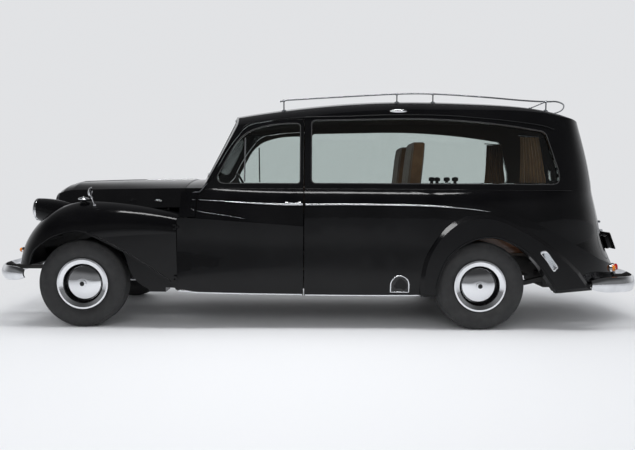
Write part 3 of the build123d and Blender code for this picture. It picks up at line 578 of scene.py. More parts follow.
# mouldings along the side: x, z and width
waist = {"door": ((0.985, 1.083, 0.004), (1.15, 1.076, 0.005), (1.319, 1.066, 0.008), (1.50, 1.057, 0.011),
                  (1.70, 1.051, 0.014), (1.80, 1.0505, 0.015), (1.862, 1.051, 0.015)),
         "body": ((1.886, 1.051, 0.013), (2.255, 1.054, 0.013), (2.670, 1.050, 0.013), (2.918, 1.044, 0.012),
                  (3.167, 1.027, 0.010), (3.333, 1.009, 0.008), (3.417, 0.995, 0.003)),
         "proud": 0.006}
sill = {"door": ((0.834, 0.331, 0.018), (0.905, 0.325, 0.018), (1.003, 0.314, 0.018), (1.423, 0.302, 0.018),
                 (1.862, 0.296, 0.018)),
        "body": ((1.886, 0.292, 0.018), (2.263, 0.290, 0.018), (2.683, 0.290, 0.018), (2.870, 0.292, 0.018)),
        "proud": 0.006}
bead = {"door": ((1.14, 1.177, 0.012), (1.5, 1.177, 0.012), (1.866, 1.177, 0.012)),
        "body": ((1.886, 1.177, 0.012), (2.8, 1.177, 0.012), (3.6, 1.177, 0.012), (3.99, 1.177, 0.012),
                 (4.16, 1.177, 0.012)),
        "proud": 0.006}
sideMouldings = (
    # name, values, finish, slot
    ("waistMoulding", waist, chrome, "chrome"),
    ("sillStrip", sill, chrome, "chrome"),
    ("beltBead", bead, blackPaint, "black_paint"),
)
for name, facts, material, slotName in sideMouldings:
    makePair(name, [moulding(doorSkin, facts["door"], facts["proud"])], material, frontDoors)
    bodyPart = moulding(sideSkin, facts["body"], facts["proud"])
    makePiece(name + "Rear", bothSides([bodyPart]), material, "body")

gutter = {"path": ((1.330, 1.660, 0.012), (1.385, 1.722, 0.014), (1.60, 1.765, 0.014), (1.835, 1.786, 0.014),
                   (2.259, 1.797, 0.014), (2.682, 1.812, 0.014), (3.106, 1.806, 0.014), (3.530, 1.776, 0.014),
                   (3.870, 1.738, 0.014), (4.02, 1.700, 0.012)),
          "proud": 0.011}
gutterShell = moulding(upperSkin, gutter["path"], gutter["proud"])
makePiece("gutter", bothSides([gutterShell]), blackPaint, "body")

arches = {"front": ((-0.405, 0.548), (-0.366, 0.655), (-0.235, 0.760), (-0.130, 0.803), (-0.020, 0.828),
                    (0.070, 0.818), (0.150, 0.786), (0.270, 0.724), (0.397, 0.657), (0.520, 0.577),
                    (0.643, 0.496), (0.730, 0.431), (0.768, 0.402)),
          "rear": ((2.968, 0.360), (3.000, 0.480), (3.054, 0.602), (3.130, 0.682), (3.222, 0.744),
                   (3.310, 0.778), (3.407, 0.791), (3.490, 0.783), (3.565, 0.757), (3.670, 0.703),
                   (3.765, 0.627), (3.820, 0.560), (3.880, 0.484), (3.930, 0.410), (3.970, 0.350)),
          "width": 0.011, "proud": 0.006}
for label, skin in (("front", wingSkin), ("rear", sideSkin)):
    lip = moulding(skin, [(x, z, arches["width"]) for x, z in arches[label]], arches["proud"])
    makePiece(label + "ArchLips", bothSides([lip]), blackPaint, "body")

windows = {
    "front": ((1.141, 1.285), ((1.150, 1.246), (1.190, 1.228)), (1.812, 1.228),
              ((1.829, 1.234), (1.836, 1.252)),
              (1.836, 1.700), ((1.829, 1.722), (1.800, 1.730)), ((1.583, 1.715), (1.422, 1.668)),
              ((1.329, 1.600), (1.252, 1.488))),
    "rear": ((1.940, 1.265), ((1.951, 1.238), (1.975, 1.230)), (3.985, 1.230),
             ((4.033, 1.246), (4.046, 1.290)), (4.040, 1.348), (3.948, 1.640),
             ((3.928, 1.668), (3.890, 1.680)), ((3.300, 1.754), (2.680, 1.774)), (1.975, 1.758),
             ((1.948, 1.748), (1.940, 1.720))),
    "width": 0.008, "proud": 0.003, "outset": 0.005}


# points along lines and (middle, end) arcs, set off outwards, starting again at the first
def outlineAround(steps, outset, spacing=0.03):
    points = []
    here = Vector(steps[0])
    for step in list(steps[1:]) + [steps[0]]:
        if isinstance(step[0], tuple):
            middle, end = Vector(step[0]), Vector(step[1])
            for k in range(6):
                t = k / 6
                points.append(here * (1 - t) * (1 - 2 * t) + middle * 4 * t * (1 - t) + end * t * (2 * t - 1))
        else:
            end = Vector(step)
            count = max(1, round((end - here).length / spacing))
            points += [here.lerp(end, k / count) for k in range(count)]
        here = end
    turnSign = 1 if sum(a.x * b.y - b.x * a.y for a, b in zip(points, points[1:] + points[:1])) > 0 else -1
    result = []
    for i, point in enumerate(points):
        along = (points[(i + 1) % len(points)] - points[i - 1]).normalized()
        result.append(point + Vector((along.y, -along.x)) * outset * turnSign)
    return result


def frameAround(skin, steps):
    path = [(p.x, p.y, windows["width"]) for p in outlineAround(steps, windows["outset"])]
    return moulding(skin, path, windows["proud"], spacing=1.0, closed=True)


makePair("windowFrame", [frameAround(doorSkin, windows["front"])], rubber, frontDoors)
makePiece("windowFrameRear", bothSides([frameAround(sideSkin, windows["rear"])]), rubber, "body")
print("mouldings laid")

# wheels and tyres
wheelFacts = {"cap": 0.146, "ringInner": 0.168, "ringOuter": 0.2165, "boss": 0.019, "reach": 0.25,
              "black": (0.004, 0.004, 0.0045, 1), "bright": (0.80, 0.81, 0.83, 1), "smear": 25,
              "roughness": (0.03, 0.14)}
tyreFacts = {"ribs": 72, "ribSize": (0.0045, 0.014, 0.030), "belowTread": 0.020, "inset": 0.016}


# bright bands at given distances from the hub, on black
def wheelFinish(name, hubX):
    material, tree, shader = newFinish(name)
    coords = addNode(tree, "ShaderNodeTexCoord")
    centre = addNode(tree, "ShaderNodeMapping", {"Location": (-(hubX + axleShift), 0, -hubHeight)})
    flat = addNode(tree, "ShaderNodeVectorMath", {1: (1, 0, 1)}, operation="MULTIPLY")
    distance = addNode(tree, "ShaderNodeVectorMath", operation="LENGTH")
    scale = addNode(tree, "ShaderNodeMath", {1: wheelFacts["reach"]}, operation="DIVIDE")
    bands = addNode(tree, "ShaderNodeValToRGB")
    ramp = bands.color_ramp
    ramp.interpolation = "CONSTANT"
    stops = ((0.0, 0), (wheelFacts["boss"], 1), (wheelFacts["cap"], 0), (wheelFacts["ringInner"], 1),
             (wheelFacts["ringOuter"], 0))
    while len(ramp.elements) < len(stops):
        ramp.elements.new(0.5)
    for element, (radius, bright) in zip(ramp.elements, stops):
        element.position = radius / wheelFacts["reach"]
        element.color = (bright, bright, bright, 1)
    colour = addNode(tree, "ShaderNodeMix", {"A": wheelFacts["black"], "B": wheelFacts["bright"]},
                     data_type="RGBA")
    smear = addNode(tree, "ShaderNodeTexNoise", {"Scale": wheelFacts["smear"]})
    smooth, dull = wheelFacts["roughness"]
    rough = addNode(tree, "ShaderNodeMapRange", {"To Min": smooth, "To Max": dull})
    link(tree,
         (coords.outputs["Object"], centre.inputs["Vector"]),
         (coords.outputs["Object"], smear.inputs["Vector"]),
         (centre.outputs["Vector"], flat.inputs[0]),
         (flat.outputs["Vector"], distance.inputs[0]),
         (distance.outputs["Value"], scale.inputs[0]),
         (scale.outputs[0], bands.inputs["Fac"]),
         (bands.outputs["Color"], colour.inputs["Factor"]),
         (bands.outputs["Color"], shader.inputs["Metallic"]),
         (colour.outputs["Result"], shader.inputs["Base Color"]),
         (smear.outputs["Fac"], rough.inputs["Value"]),
         (rough.outputs["Result"], shader.inputs["Roughness"]))
    return material


wheelMaterials = {"front": wheelFinish("frontWheelFinish", 0.0),
                  "rear": wheelFinish("rearWheelFinish", wheelbase)}
for nodeName in nodes:
    if nodeName.startswith("wheel_"):
        wear(nodeName, wheelMaterials[nodeName.split("_")[1]])


# a ring of small shoulder ribs round each tyre, set out by a geometry tree
def ribTree():
    tree = bpy.data.node_groups.new("shoulderRibs", "GeometryNodeTree")
    sockets = {}
    for label, kind in (("Geometry", "Geometry"), ("Count", "Int"), ("Radius", "Float"),
                        ("Centre", "Vector"), ("Size", "Vector"), ("Finish", "Material")):
        sockets[label] = tree.interface.new_socket(label, in_out="INPUT", socket_type="NodeSocket" + kind)
    tree.interface.new_socket("Geometry", in_out="OUTPUT", socket_type="NodeSocketGeometry")
    given = addNode(tree, "NodeGroupInput")
    result = addNode(tree, "NodeGroupOutput")
    ring = addNode(tree, "GeometryNodeMeshCircle")
    rib = addNode(tree, "GeometryNodeMeshCube")
    spread = addNode(tree, "GeometryNodeInstanceOnPoints")
    aim = addNode(tree, "FunctionNodeAlignEulerToVector", axis="Z")
    where = addNode(tree, "GeometryNodeInputPosition")
    upright = addNode(tree, "GeometryNodeTransform", {"Rotation": (math.radians(90), 0, 0)})
    real = addNode(tree, "GeometryNodeRealizeInstances")
    paint = addNode(tree, "GeometryNodeSetMaterial")
    link(tree,
         (given.outputs["Count"], ring.inputs["Vertices"]),
         (given.outputs["Radius"], ring.inputs["Radius"]),
         (given.outputs["Size"], rib.inputs["Size"]),
         (ring.outputs["Mesh"], spread.inputs["Points"]),
         (rib.outputs["Mesh"], spread.inputs["Instance"]),
         (where.outputs["Position"], aim.inputs["Vector"]),
         (aim.outputs["Rotation"], spread.inputs["Rotation"]),
         (spread.outputs["Instances"], real.inputs["Geometry"]),
         (real.outputs["Geometry"], upright.inputs["Geometry"]),
         (given.outputs["Centre"], upright.inputs["Translation"]),
         (upright.outputs["Geometry"], paint.inputs["Geometry"]),
         (given.outputs["Finish"], paint.inputs["Material"]),
         (paint.outputs["Geometry"], result.inputs["Geometry"]))
    return tree, sockets


def growFromTree(name, tree, sockets, values, body):
    holder = addObject(name + "Maker", bpy.data.meshes.new(name + "Maker"))
    modifier = holder.modifiers.new("tree", "NODES")
    modifier.node_group = tree
    for label, value in values.items():
        modifier[sockets[label].identifier] = value
    holder.data.update()
    bpy.context.view_layer.update()
    evaluated = holder.evaluated_get(bpy.context.evaluated_depsgraph_get())
    data = bpy.data.meshes.new_from_object(evaluated)
    data.name = name
    holder.modifiers.clear()
    bpy.data.objects.remove(holder)
    piece = addObject(name, data)
    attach(piece, body)
    return piece


ribs, ribSockets = ribTree()
for nodeName in sorted(nodes):
    if nodeName.startswith("tyre_"):
        low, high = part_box(nodeName)
        middle = (low + high) / 2
        radius = (high.z - low.z) / 2
        outSign = -1 if middle.y < 0 else 1
        for face, faceSign in (("Outer", 1), ("Inner", -1)):
            offset = outSign * faceSign * ((high.y - low.y) / 2 - tyreFacts["inset"])
            values = {"Count": tyreFacts["ribs"], "Size": tyreFacts["ribSize"], "Finish": rubber,
                      "Radius": radius - tyreFacts["ribSize"][2] / 2 - tyreFacts["belowTread"],
                      "Centre": (middle.x, middle.y + offset, middle.z)}
            growFromTree("shoulderRibs" + face + nodeName[4:], ribs, ribSockets, values,
                         nodeName.replace("tyre", "wheel"))
print("wheels finished")

# bumpers: a crowned blade bent along its plan line, on two irons
bumpers = {
    "section": ((-0.004, -1.0), (0.004, -1.0), (0.012, -0.80), (0.020, -0.40), (0.024, 0.0), (0.020, 0.40),
                (0.012, 0.80), (0.004, 1.0), (-0.004, 1.0), (0.000, 0.80), (0.006, 0.40), (0.009, 0.0),
                (0.006, -0.40), (0.000, -0.80)),
    "spacing": 0.035, "endRun": 0.12, "endShare": 0.55, "endPower": 0.6,
    "ironY": -0.355, "ironSize": (0.05, 0.036), "ironCorner": 0.009,
    "front": {"plan": ((-0.462, -0.866), (-0.545, -0.838), (-0.640, -0.790), (-0.715, -0.690),
                       (-0.760, -0.520), (-0.770, -0.300), (-0.775, 0.0)),
              "z": 0.461, "half": 0.059, "out": -1, "ironX": (-0.44, -0.772), "ironZ": 0.455},
    "rear": {"plan": ((4.290, -0.852), (4.440, -0.842), (4.610, -0.795), (4.715, -0.690),
                      (4.775, -0.500), (4.802, -0.250), (4.806, 0.0)),
             "z": 0.383, "half": 0.064, "out": 1, "ironX": (4.60, 4.800), "ironZ": 0.391},
}


def blade(facts):
    half = [at(x, y, facts["z"]) for x, y in facts["plan"]]
    whole = half + [Vector((p.x, -p.y, p.z)) for p in reversed(half[:-1])]
    path = smoothPath(whole, bumpers["spacing"])
    rings = []
    for i, point in enumerate(path):
        ahead = path[min(i + 1, len(path) - 1)]
        behind = path[max(i - 1, 0)]
        outward = upwards.cross((ahead - behind).normalized()) * -facts["out"]
        fromEnd = min(i, len(path) - 1 - i) * bumpers["spacing"]
        full = min(1.0, fromEnd / bumpers["endRun"]) ** bumpers["endPower"]
        height = facts["half"] * (bumpers["endShare"] + (1 - bumpers["endShare"]) * full)
        rings.append([point + outward * across + Vector((0, 0, up * height))
                      for across, up in bumpers["section"]])
    return (rings, False)


# a flat iron lying lengthwise
def iron(a, b):
    side = (b - a).normalized().cross(upwards).normalized()
    up = side.cross((b - a).normalized())
    outline = rounded(*bumpers["ironSize"], bumpers["ironCorner"], 3)
    return ([[p + side * u + up * v for u, v in outline] for p in (a, b)], False)


for label in ("front", "rear"):
    facts = bumpers[label]
    bumper = makePiece(label + "BumperBlade", [blade(facts)], chrome, "body")
    start, end = (at(x, bumpers["ironY"], facts["ironZ"]) for x in facts["ironX"])
    makePiece(label + "BumperIrons", bothSides([iron(start, end)]), chassisBlack, "body")
    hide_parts(label + "_bumper")

# headlamps: each profile is the distance inside the rim's radius, and the distance forwards
headlamp = {"place": (-0.470, -0.520, 0.985), "radius": 0.100,
            "rim": ((0.002, 0.0), (-0.001, 0.010), (0.001, 0.020), (0.008, 0.027), (0.015, 0.026),
                    (0.017, 0.018), (0.016, 0.0)),
            "bowl": ((0.016, 0.016), (0.030, 0.002), (0.055, -0.022), (0.088, -0.030), (0.088, -0.033),
                     (0.053, -0.026), (0.028, -0.002), (0.014, 0.012)),
            "bulb": ((0.096, -0.030), (0.088, -0.024), (0.086, -0.006), (0.090, 0.004), (0.098, 0.008)),
            "lens": ((0.016, 0.018), (0.030, 0.026), (0.055, 0.034), (0.080, 0.039), (0.097, 0.040),
                     (0.097, 0.037), (0.080, 0.036), (0.055, 0.031), (0.030, 0.023), (0.016, 0.015))}
flutes = {"count": 16, "inset": 0.018, "share": 0.94, "steps": 8, "crown": 0.0395, "fall": 0.0225,
          "power": 1.3, "radius": 0.0011}
lampCentre = at(*headlamp["place"])


def lampShell(part, segments=64, closed=True):
    profile = [(headlamp["radius"] - inset, ahead) for inset, ahead in headlamp[part]]
    return bothSides([turned(lampCentre, forwards, profile, segments, closed)])


rimPiece = makePiece("headlampRims", lampShell("rim"), chrome, "body")
makePiece("headlampBowls", lampShell("bowl"), chrome, "body")
makePiece("headlampBulbs", lampShell("bulb", 24, False), lampGlass, "body")
makePiece("headlampLenses", lampShell("lens"), lampGlass, "body")
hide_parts("lamps")

fluteReach = headlamp["radius"] - flutes["inset"]
fluteShells = []
for i in range(flutes["count"]):
    offset = -fluteReach + 2 * fluteReach * (i + 0.5) / flutes["count"]
    half = math.sqrt(fluteReach ** 2 - offset ** 2) * flutes["share"]
    points = []
    for k in range(flutes["steps"] + 1):
        up = -half + 2 * half * k / flutes["steps"]
        fromMiddle = ((offset ** 2 + up ** 2) / fluteReach ** 2) ** flutes["power"]
        points.append(lampCentre + Vector((flutes["fall"] * fromMiddle - flutes["crown"], offset, up)))
    fluteShells.append(tube(points, flutes["radius"], 6, spacing=0.02))
makePiece("headlampFlutes", bothSides(fluteShells), lampGlass, "body")

# small side indicators on the nose of each wing
indicator = {"ahead": -1.0, "place": (-0.735, 0.648), "axis": (-1, 0, 0.05),
             "base": ((0.001, -0.006), (0.024, -0.006), (0.024, 0.006), (0.020, 0.010), (0.001, 0.010)),
             "lens": ((0.019, 0.009), (0.019, 0.020), (0.013, 0.030), (0.002, 0.034))}
place, _ = meet(wingSkin, at(indicator["ahead"], *indicator["place"]), rearwards)
base = turned(place, indicator["axis"], indicator["base"], 32)
lens = turned(place, indicator["axis"], indicator["lens"], 32)
makePiece("noseIndicatorBases", bothSides([base]), chrome, "body")
makePiece("noseIndicators", bothSides([lens]), amberPlastic, "body")

# mushroom side lamps on the wing crowns
sideLamp = {"place": (0.0, -0.745), "above": 1.4,
            "stem": ((0.030, -0.006), (0.030, 0.004), (0.022, 0.008), (0.020, 0.020), (0.024, 0.026),
                     (0.010, 0.028)),
            "cap": ((0.010, 0.024), (0.046, 0.024), (0.047, 0.029), (0.042, 0.036), (0.026, 0.043),
                    (0.010, 0.045), (0.004, 0.053), (0.001, 0.054))}
place, _ = meet(wingSkin, at(*sideLamp["place"], sideLamp["above"]), down)
stem = turned(place, upwards, sideLamp["stem"], 32)
cap = turned(place, upwards, sideLamp["cap"], 48)
makePiece("sideLampStems", bothSides([stem]), blackPaint, "body")
makePiece("sideLampCaps", bothSides([cap]), chrome, "body")

# mirrors on stalks
mirror = {"foot": (0.112, -0.800), "above": 1.4, "ball": (0.090, -0.805, 1.098), "head": (0.081, -0.808, 1.142),
          "facing": (1, 0.16, -0.12), "stalk": 0.0045, "bend": (-0.002, 0, 0), "sunk": 0.003, "neck": 0.012,
          "footProfile": ((0.014, -0.006), (0.014, 0.004), (0.008, 0.009), (0.002, 0.010)),
          "ballProfile": ((0.001, -0.011), (0.008, -0.008), (0.011, 0.0), (0.008, 0.008), (0.001, 0.011)),
          "headProfile": ((0.002, -0.020), (0.020, -0.018), (0.036, -0.012), (0.045, -0.002),
                          (0.046, 0.004), (0.043, 0.006), (0.041, 0.003), (0.001, 0.003))}
foot, _ = meet(wingSkin, at(*mirror["foot"], mirror["above"]), down)
ball = at(*mirror["ball"])
head = at(*mirror["head"])
facing = Vector(mirror["facing"]).normalized()
bend = (foot + ball) / 2 + Vector(mirror["bend"])
stalks = [turned(foot, upwards, mirror["footProfile"], 24),
          tube([foot - upwards * mirror["sunk"], bend, ball], mirror["stalk"], 10),
          turned(ball, upwards, mirror["ballProfile"], 20),
          tube([ball, head - facing * mirror["neck"]], mirror["stalk"], 10),
          turned(head, facing, mirror["headProfile"], 40)]
makePiece("wingMirrors", bothSides(stalks), chrome, "body")

# roof rail: a tube on ball-topped posts, with a stay at the rear
rail = {"line": ((1.655, -0.500, 1.943), (1.70, -0.500, 1.955), (2.183, -0.500, 1.986), (2.684, -0.500, 2.014),
                 (3.001, -0.500, 2.016), (3.415, -0.500, 1.993), (3.80, -0.500, 1.962), (4.00, -0.498, 1.953),
                 (4.10, -0.470, 1.958), (4.20, -0.380, 1.944), (4.265, -0.200, 1.922), (4.285, 0.0, 1.914)),
        "radius": 0.0065, "spacing": 0.04, "above": 2.6, "sunk": 0.002,
        "posts": ((1.690, -0.500), (2.684, -0.500), (3.001, -0.500), (3.998, -0.500)), "postRadius": 0.006,
        "foot": ((0.020, 0.0), (0.020, 0.006), (0.012, 0.011), (0.006, 0.012)),
        "ball": ((0.001, -0.014), (0.010, -0.010), (0.014, 0.0), (0.011, 0.007), (0.001, 0.010)),
        "stay": ((3.86, -0.500), (3.998, -0.500)), "stayRadius": 0.005,
        "stayFoot": ((0.014, 0.0), (0.014, 0.005), (0.006, 0.008))}
roofSkin = skinOf("roof")
near = [at(*p) for p in rail["line"]]
loop = near + [Vector((p.x, -p.y, p.z)) for p in reversed(near[:-1])]


def railTop(x, y):
    for a, b in zip(rail["line"], rail["line"][1:]):
        if a[0] <= x <= b[0]:
            return at(x, y, a[2] + (b[2] - a[2]) * (x - a[0]) / (b[0] - a[0]))


posts = []
for postPlace in rail["posts"]:
    foot, up = meet(roofSkin, at(*postPlace, rail["above"]), down)
    top = railTop(*postPlace)
    posts += [turned(foot - up * rail["sunk"], up, rail["foot"], 24),
              tube([foot, top], rail["postRadius"], 10),
              turned(top, upwards, rail["ball"], 20)]
stayFoot, stayTop = rail["stay"]
foot, up = meet(roofSkin, at(*stayFoot, rail["above"]), down)
posts += [tube([foot, railTop(*stayTop)], rail["stayRadius"], 10),
          turned(foot - up * rail["sunk"], up, rail["stayFoot"], 20)]
railTube = tube(loop, rail["radius"], 12, spacing=rail["spacing"])
railPiece = makePiece("roofRailTubes", [railTube] + bothSides(posts), satinChrome, "body")
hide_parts("roof_rail")

# crescent lamps on the roof side, over the rear window
hood = {"x": 2.676, "z": 1.842, "half": 0.074, "height": 0.020, "proud": 0.026, "sunk": 0.002, "tip": 0.02,
        "steps": 12, "sides": 14}
place, normal = sideHit(upperSkin, hood["x"], hood["z"])
lift = normal.cross(rearwards).normalized()
hoodRings = []
for k in range(hood["steps"] + 1):
    u = -1 + 2 * k / hood["steps"]
    wide = math.sqrt(max(hood["tip"], 1 - u * u))
    centre = place + rearwards * (u * hood["half"]) - normal * hood["sunk"]
    hoodRings.append([centre + lift * (math.cos(a) * hood["height"] * wide)
                      + normal * (max(0.0, math.sin(a)) * hood["proud"] * wide)
                      for a in (2 * math.pi * j / hood["sides"] for j in range(hood["sides"]))])
makePiece("roofSideLampHoods", bothSides([(hoodRings, False)]), chrome, "body")

# tail: handle, blank plate on its box, and lamps
tailSkin = skinOf("tailgate", "body_side_left", "body_side_right")
behindTail = 5.6


def onTail(y, z):
    return meet(tailSkin, at(behindTail, y, z), forwards)


tailHandle = {"z": 0.836, "sunk": 0.003, "neck": 0.03, "neckRadius": 0.009, "grip": (0.055, 0, 0.030),
              "barStart": (0.046, 0, 0.004), "barAxis": (1, 0, 0.08),
              "rose": ((0.030, 0.0), (0.030, 0.006), (0.018, 0.012), (0.010, 0.014)),
              "bar": ((0.003, 0.0), (0.010, 0.004), (0.013, 0.018), (0.010, 0.034), (0.010, 0.058),
                      (0.013, 0.074), (0.010, 0.088), (0.003, 0.092))}
seat, out = onTail(0.0, tailHandle["z"])
grip = seat + Vector(tailHandle["grip"])
handle = [turned(seat - out * tailHandle["sunk"], out, tailHandle["rose"], 32),
          tube([seat, seat + out * tailHandle["neck"], grip], tailHandle["neckRadius"], 12),
          turned(grip - Vector(tailHandle["barStart"]), tailHandle["barAxis"], tailHandle["bar"], 20)]
makePiece("tailgateHandle", handle, satinChrome, "tailgate")

# box and plate: width, height and corner
plateFacts = {"z": 0.685, "box": (0.46, 0.13, 0.02), "boxOff": 0.001, "boxDepth": 0.044, "boxEdge": 0.004,
              "plate": (0.52, 0.165, 0.012), "plateOff": 0.050, "plateDepth": 0.006, "plateEdge": 0.0015,
              "lampRise": 0.094, "lampOff": 0.004, "lampHalf": 0.10, "lampRadius": 0.012}
seat, out = onTail(0.0, plateFacts["z"])
tilt = (upwards - out * out.z).normalized()
plateCentre = seat + out * plateFacts["plateOff"]
box = slab(seat + out * plateFacts["boxOff"], inwards, tilt, rounded(*plateFacts["box"]),
           plateFacts["boxDepth"], plateFacts["boxEdge"])
plate = slab(plateCentre, inwards, tilt, rounded(*plateFacts["plate"]),
             plateFacts["plateDepth"], plateFacts["plateEdge"])
lampEnds = [plateCentre + tilt * plateFacts["lampRise"] + Vector((plateFacts["lampOff"], y, 0))
            for y in (-plateFacts["lampHalf"], plateFacts["lampHalf"])]
makePiece("plateBox", [box], blackPaint, "tailgate")
makePiece("blankPlate", [plate], chassisBlack, "tailgate")
makePiece("plateLamp", [tube(lampEnds, plateFacts["lampRadius"], 14)], chrome, "tailgate")

# each profile is the distance outside the lamp's radius, and the distance out
tailLamps = {"amber": (-0.560, 0.488), "red": (-0.470, 0.488), "radius": 0.030, "rearwards": 0.8,
             "collarSunk": 0.014, "collar": ((0.006, 0.0), (0.006, 0.020), (0.001, 0.024), (-0.004, 0.024)),
             "lensSunk": 0.010, "lens": ((-0.001, 0.0), (-0.001, 0.036), (-0.006, 0.044), (-0.020, 0.048),
                                         (-0.028, 0.048))}
for label, plastic in (("amber", amberPlastic), ("red", redPlastic)):
    seat, out = onTail(*tailLamps[label])
    aim = (out + rearwards * tailLamps["rearwards"]).normalized()
    shells = {}
    for part in ("collar", "lens"):
        profile = [(tailLamps["radius"] + more, along) for more, along in tailLamps[part]]
        shells[part] = bothSides([turned(seat - aim * tailLamps[part + "Sunk"], aim, profile, 36)])
    makePiece(label + "TailLampCollars", shells["collar"], chrome, "body")
    makePiece(label + "TailLamps", shells["lens"], plastic, "body")

# clear ribbed lozenge lamps low on the rear wings; rim and lens are growth and height off the wing
lozenge = {"outline": ((3.834, 0.657), (3.862, 0.672), (3.883, 0.666), (3.930, 0.605), (3.969, 0.549),
                       (3.955, 0.528), (3.937, 0.516), (3.885, 0.590)), "spacing": 0.012,
           "rim": ((1.12, -0.002), (1.10, 0.002), (1.0, 0.0037), (0.94, 0.002)),
           "lens": ((0.95, 0.001), (0.93, 0.0018), (0.75, 0.0022), (0.35, 0.0024)),
           "ribs": 9, "ribRun": ((3.862, 0.664), (3.952, 0.530)), "ribSpan": (0.12, 0.76),
           "ribAcross": (0.030, 0.018), "ribEnd": 0.8, "ribHeight": 0.0026, "ribFall": 0.0006,
           "ribRadius": 0.0012}
lozengeCentre = [sum(p[i] for p in lozenge["outline"]) / len(lozenge["outline"]) for i in (0, 1)]
lozengeFine = smoothPath([(x, z, 0) for x, z in lozenge["outline"]], lozenge["spacing"], True)
lozengeOutline = [(p.x, p.y) for p in lozengeFine]
for name, part, material, slotName in (("lozengeLampRims", "rim", chrome, "chrome"),
                                       ("lozengeLamps", "lens", lampGlass, "glass")):
    rings = [laidRing(lozengeOutline, lozengeCentre, grow, height) for grow, height in lozenge[part]]
    makePiece(name, bothSides([(rings, False)]), material, "body")
ribShells = []
(startX, startZ), (endX, endZ) = lozenge["ribRun"]
first, span = lozenge["ribSpan"]
for k in range(lozenge["ribs"]):
    t = first + span * k / (lozenge["ribs"] - 1)
    points = []
    for u in (-lozenge["ribEnd"], 0, lozenge["ribEnd"]):
        place, normal = sideHit(sideSkin, startX + (endX - startX) * t + lozenge["ribAcross"][0] * u,
                                startZ + (endZ - startZ) * t + lozenge["ribAcross"][1] * u)
        points.append(place + normal * (lozenge["ribHeight"] - lozenge["ribFall"] * abs(u)))
    ribShells.append(tube(points, lozenge["ribRadius"], 6, spacing=0.015))
makePiece("lozengeLampRibs", bothSides(ribShells), chrome, "body")

# D-shaped step let into the side
step = {"x": 2.676, "half": 0.076, "bottom": 0.322, "spring": 0.385, "width": 0.012, "proud": 0.006,
        "pad": ((0.97, -0.001), (0.96, 0.002))}
stepLeft, stepRight = step["x"] - step["half"], step["x"] + step["half"]
stepRise = step["spring"] - step["bottom"]
stepOutline = [(stepLeft + step["half"] * k / 5, step["bottom"]) for k in range(11)]
stepOutline += [(stepRight, step["bottom"] + stepRise * k / 4) for k in range(1, 4)]
stepOutline += [(step["x"] + step["half"] * math.cos(a), step["spring"] + step["half"] * math.sin(a))
                for a in (math.pi * k / 20 for k in range(21))]
stepOutline += [(stepLeft, step["spring"] - stepRise * k / 4) for k in range(1, 4)]
stepPath = [(x, z, step["width"]) for x, z in stepOutline]
stepFrame = moulding(sideSkin, stepPath, step["proud"], spacing=1.0, closed=True)
makePiece("stepFrames", bothSides([stepFrame]), chrome, "body")
padRings = [laidRing(stepOutline, (step["x"], step["spring"]), grow, height) for grow, height in step["pad"]]
makePiece("stepPads", bothSides([(padRings, False)]), rubber, "body")
print("lamps, rail and tail fittings placed")

# seats: a stuffed block has crowned faces, drawn-in corners and sewn channels
padding = {"cuts": 23, "face": 0.98, "seam": 6, "otherFaces": 0.3, "ends": 0.4, "corner": 10,
           "drawnIn": 0.035, "channelWidth": 1.35, "channelPower": 1.3}


def stuffed(centre, size, crown, channels, channelDepth, lean=0.0, front="x"):
    sx, sy, sz = (v / 2 for v in size)
    crownX, crownZ = (1, padding["otherFaces"]) if front == "x" else (padding["otherFaces"], 1)
    seam, corner = padding["seam"], padding["corner"]
    mesh = bmesh.new()
    bmesh.ops.create_cube(mesh, size=2.0)
    bmesh.ops.subdivide_edges(mesh, edges=mesh.edges, cuts=padding["cuts"], use_grid_fill=True)
    for v in mesh.verts:
        u, w, t = v.co
        p = Vector((u * sx, w * sy, t * sz))
        edgeU, edgeW, edgeT = 1 - u ** seam, 1 - w ** seam, 1 - t ** seam
        onU, onW, onT = (abs(c) > padding["face"] for c in (u, w, t))
        p.x += math.copysign(1, u) * crown * (crownX * edgeW * edgeT) * onU
        p.z += math.copysign(1, t) * crown * (crownZ * edgeU * edgeW) * onT
        p.y += math.copysign(1, w) * crown * padding["ends"] * edgeU * edgeT * onW
        groove = abs(math.sin(math.pi * channels * (w + 1) / 2))
        depth = channelDepth * (1 - min(1.0, groove * padding["channelWidth"])) ** padding["channelPower"]
        if front == "x":
            p.x -= math.copysign(depth, u) * onU
        else:
            p.z -= depth * (t > padding["face"])
        nearCorner = max(0.0, (abs(u) ** corner + abs(w) ** corner + abs(t) ** corner) - 1.0)
        p *= 1 - padding["drawnIn"] * min(1.0, nearCorner)
        p.x += lean * (p.z + sz)
        v.co = Vector(centre) + p
    return mesh


def padPiece(name, mesh, material):
    bmesh.ops.recalc_face_normals(mesh, faces=mesh.faces)
    piece = fromBmesh(name, mesh, material)
    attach(piece, "body")
    return piece


bench = {"cushion": {"size": (0.44, 1.18, 0.125), "crown": 0.012, "channels": 14, "channelDepth": 0.008,
                     "front": "z"},
         "back": {"size": (0.125, 1.18, 0.43), "crown": 0.010, "channels": 14, "channelDepth": 0.008,
                  "lean": 0.20},
         "cushionPlace": (1.455, 0.0, 0.705), "backPlace": (1.735, 0.0, 0.98)}
bearer = {"cushion": {"size": (0.37, 0.42, 0.115), "crown": 0.010, "channels": 9, "channelDepth": 0.007,
                      "front": "z"},
          "back": {"size": (0.105, 0.42, 0.82), "crown": 0.012, "channels": 9, "channelDepth": 0.009,
                   "lean": 0.10},
          "cushionPlace": (2.595, 0.370, 0.700), "backPlace": (2.795, 0.370, 1.180)}
# the middle of each base's rear face, and its length, width and height
bases = {"bench": ((1.260, 0.0, 0.563), (0.38, 1.10, 0.146)),
         "bearer": ((2.450, 0.370, 0.563), (0.22, 0.34, 0.146)), "corner": 0.02, "edge": 0.004}


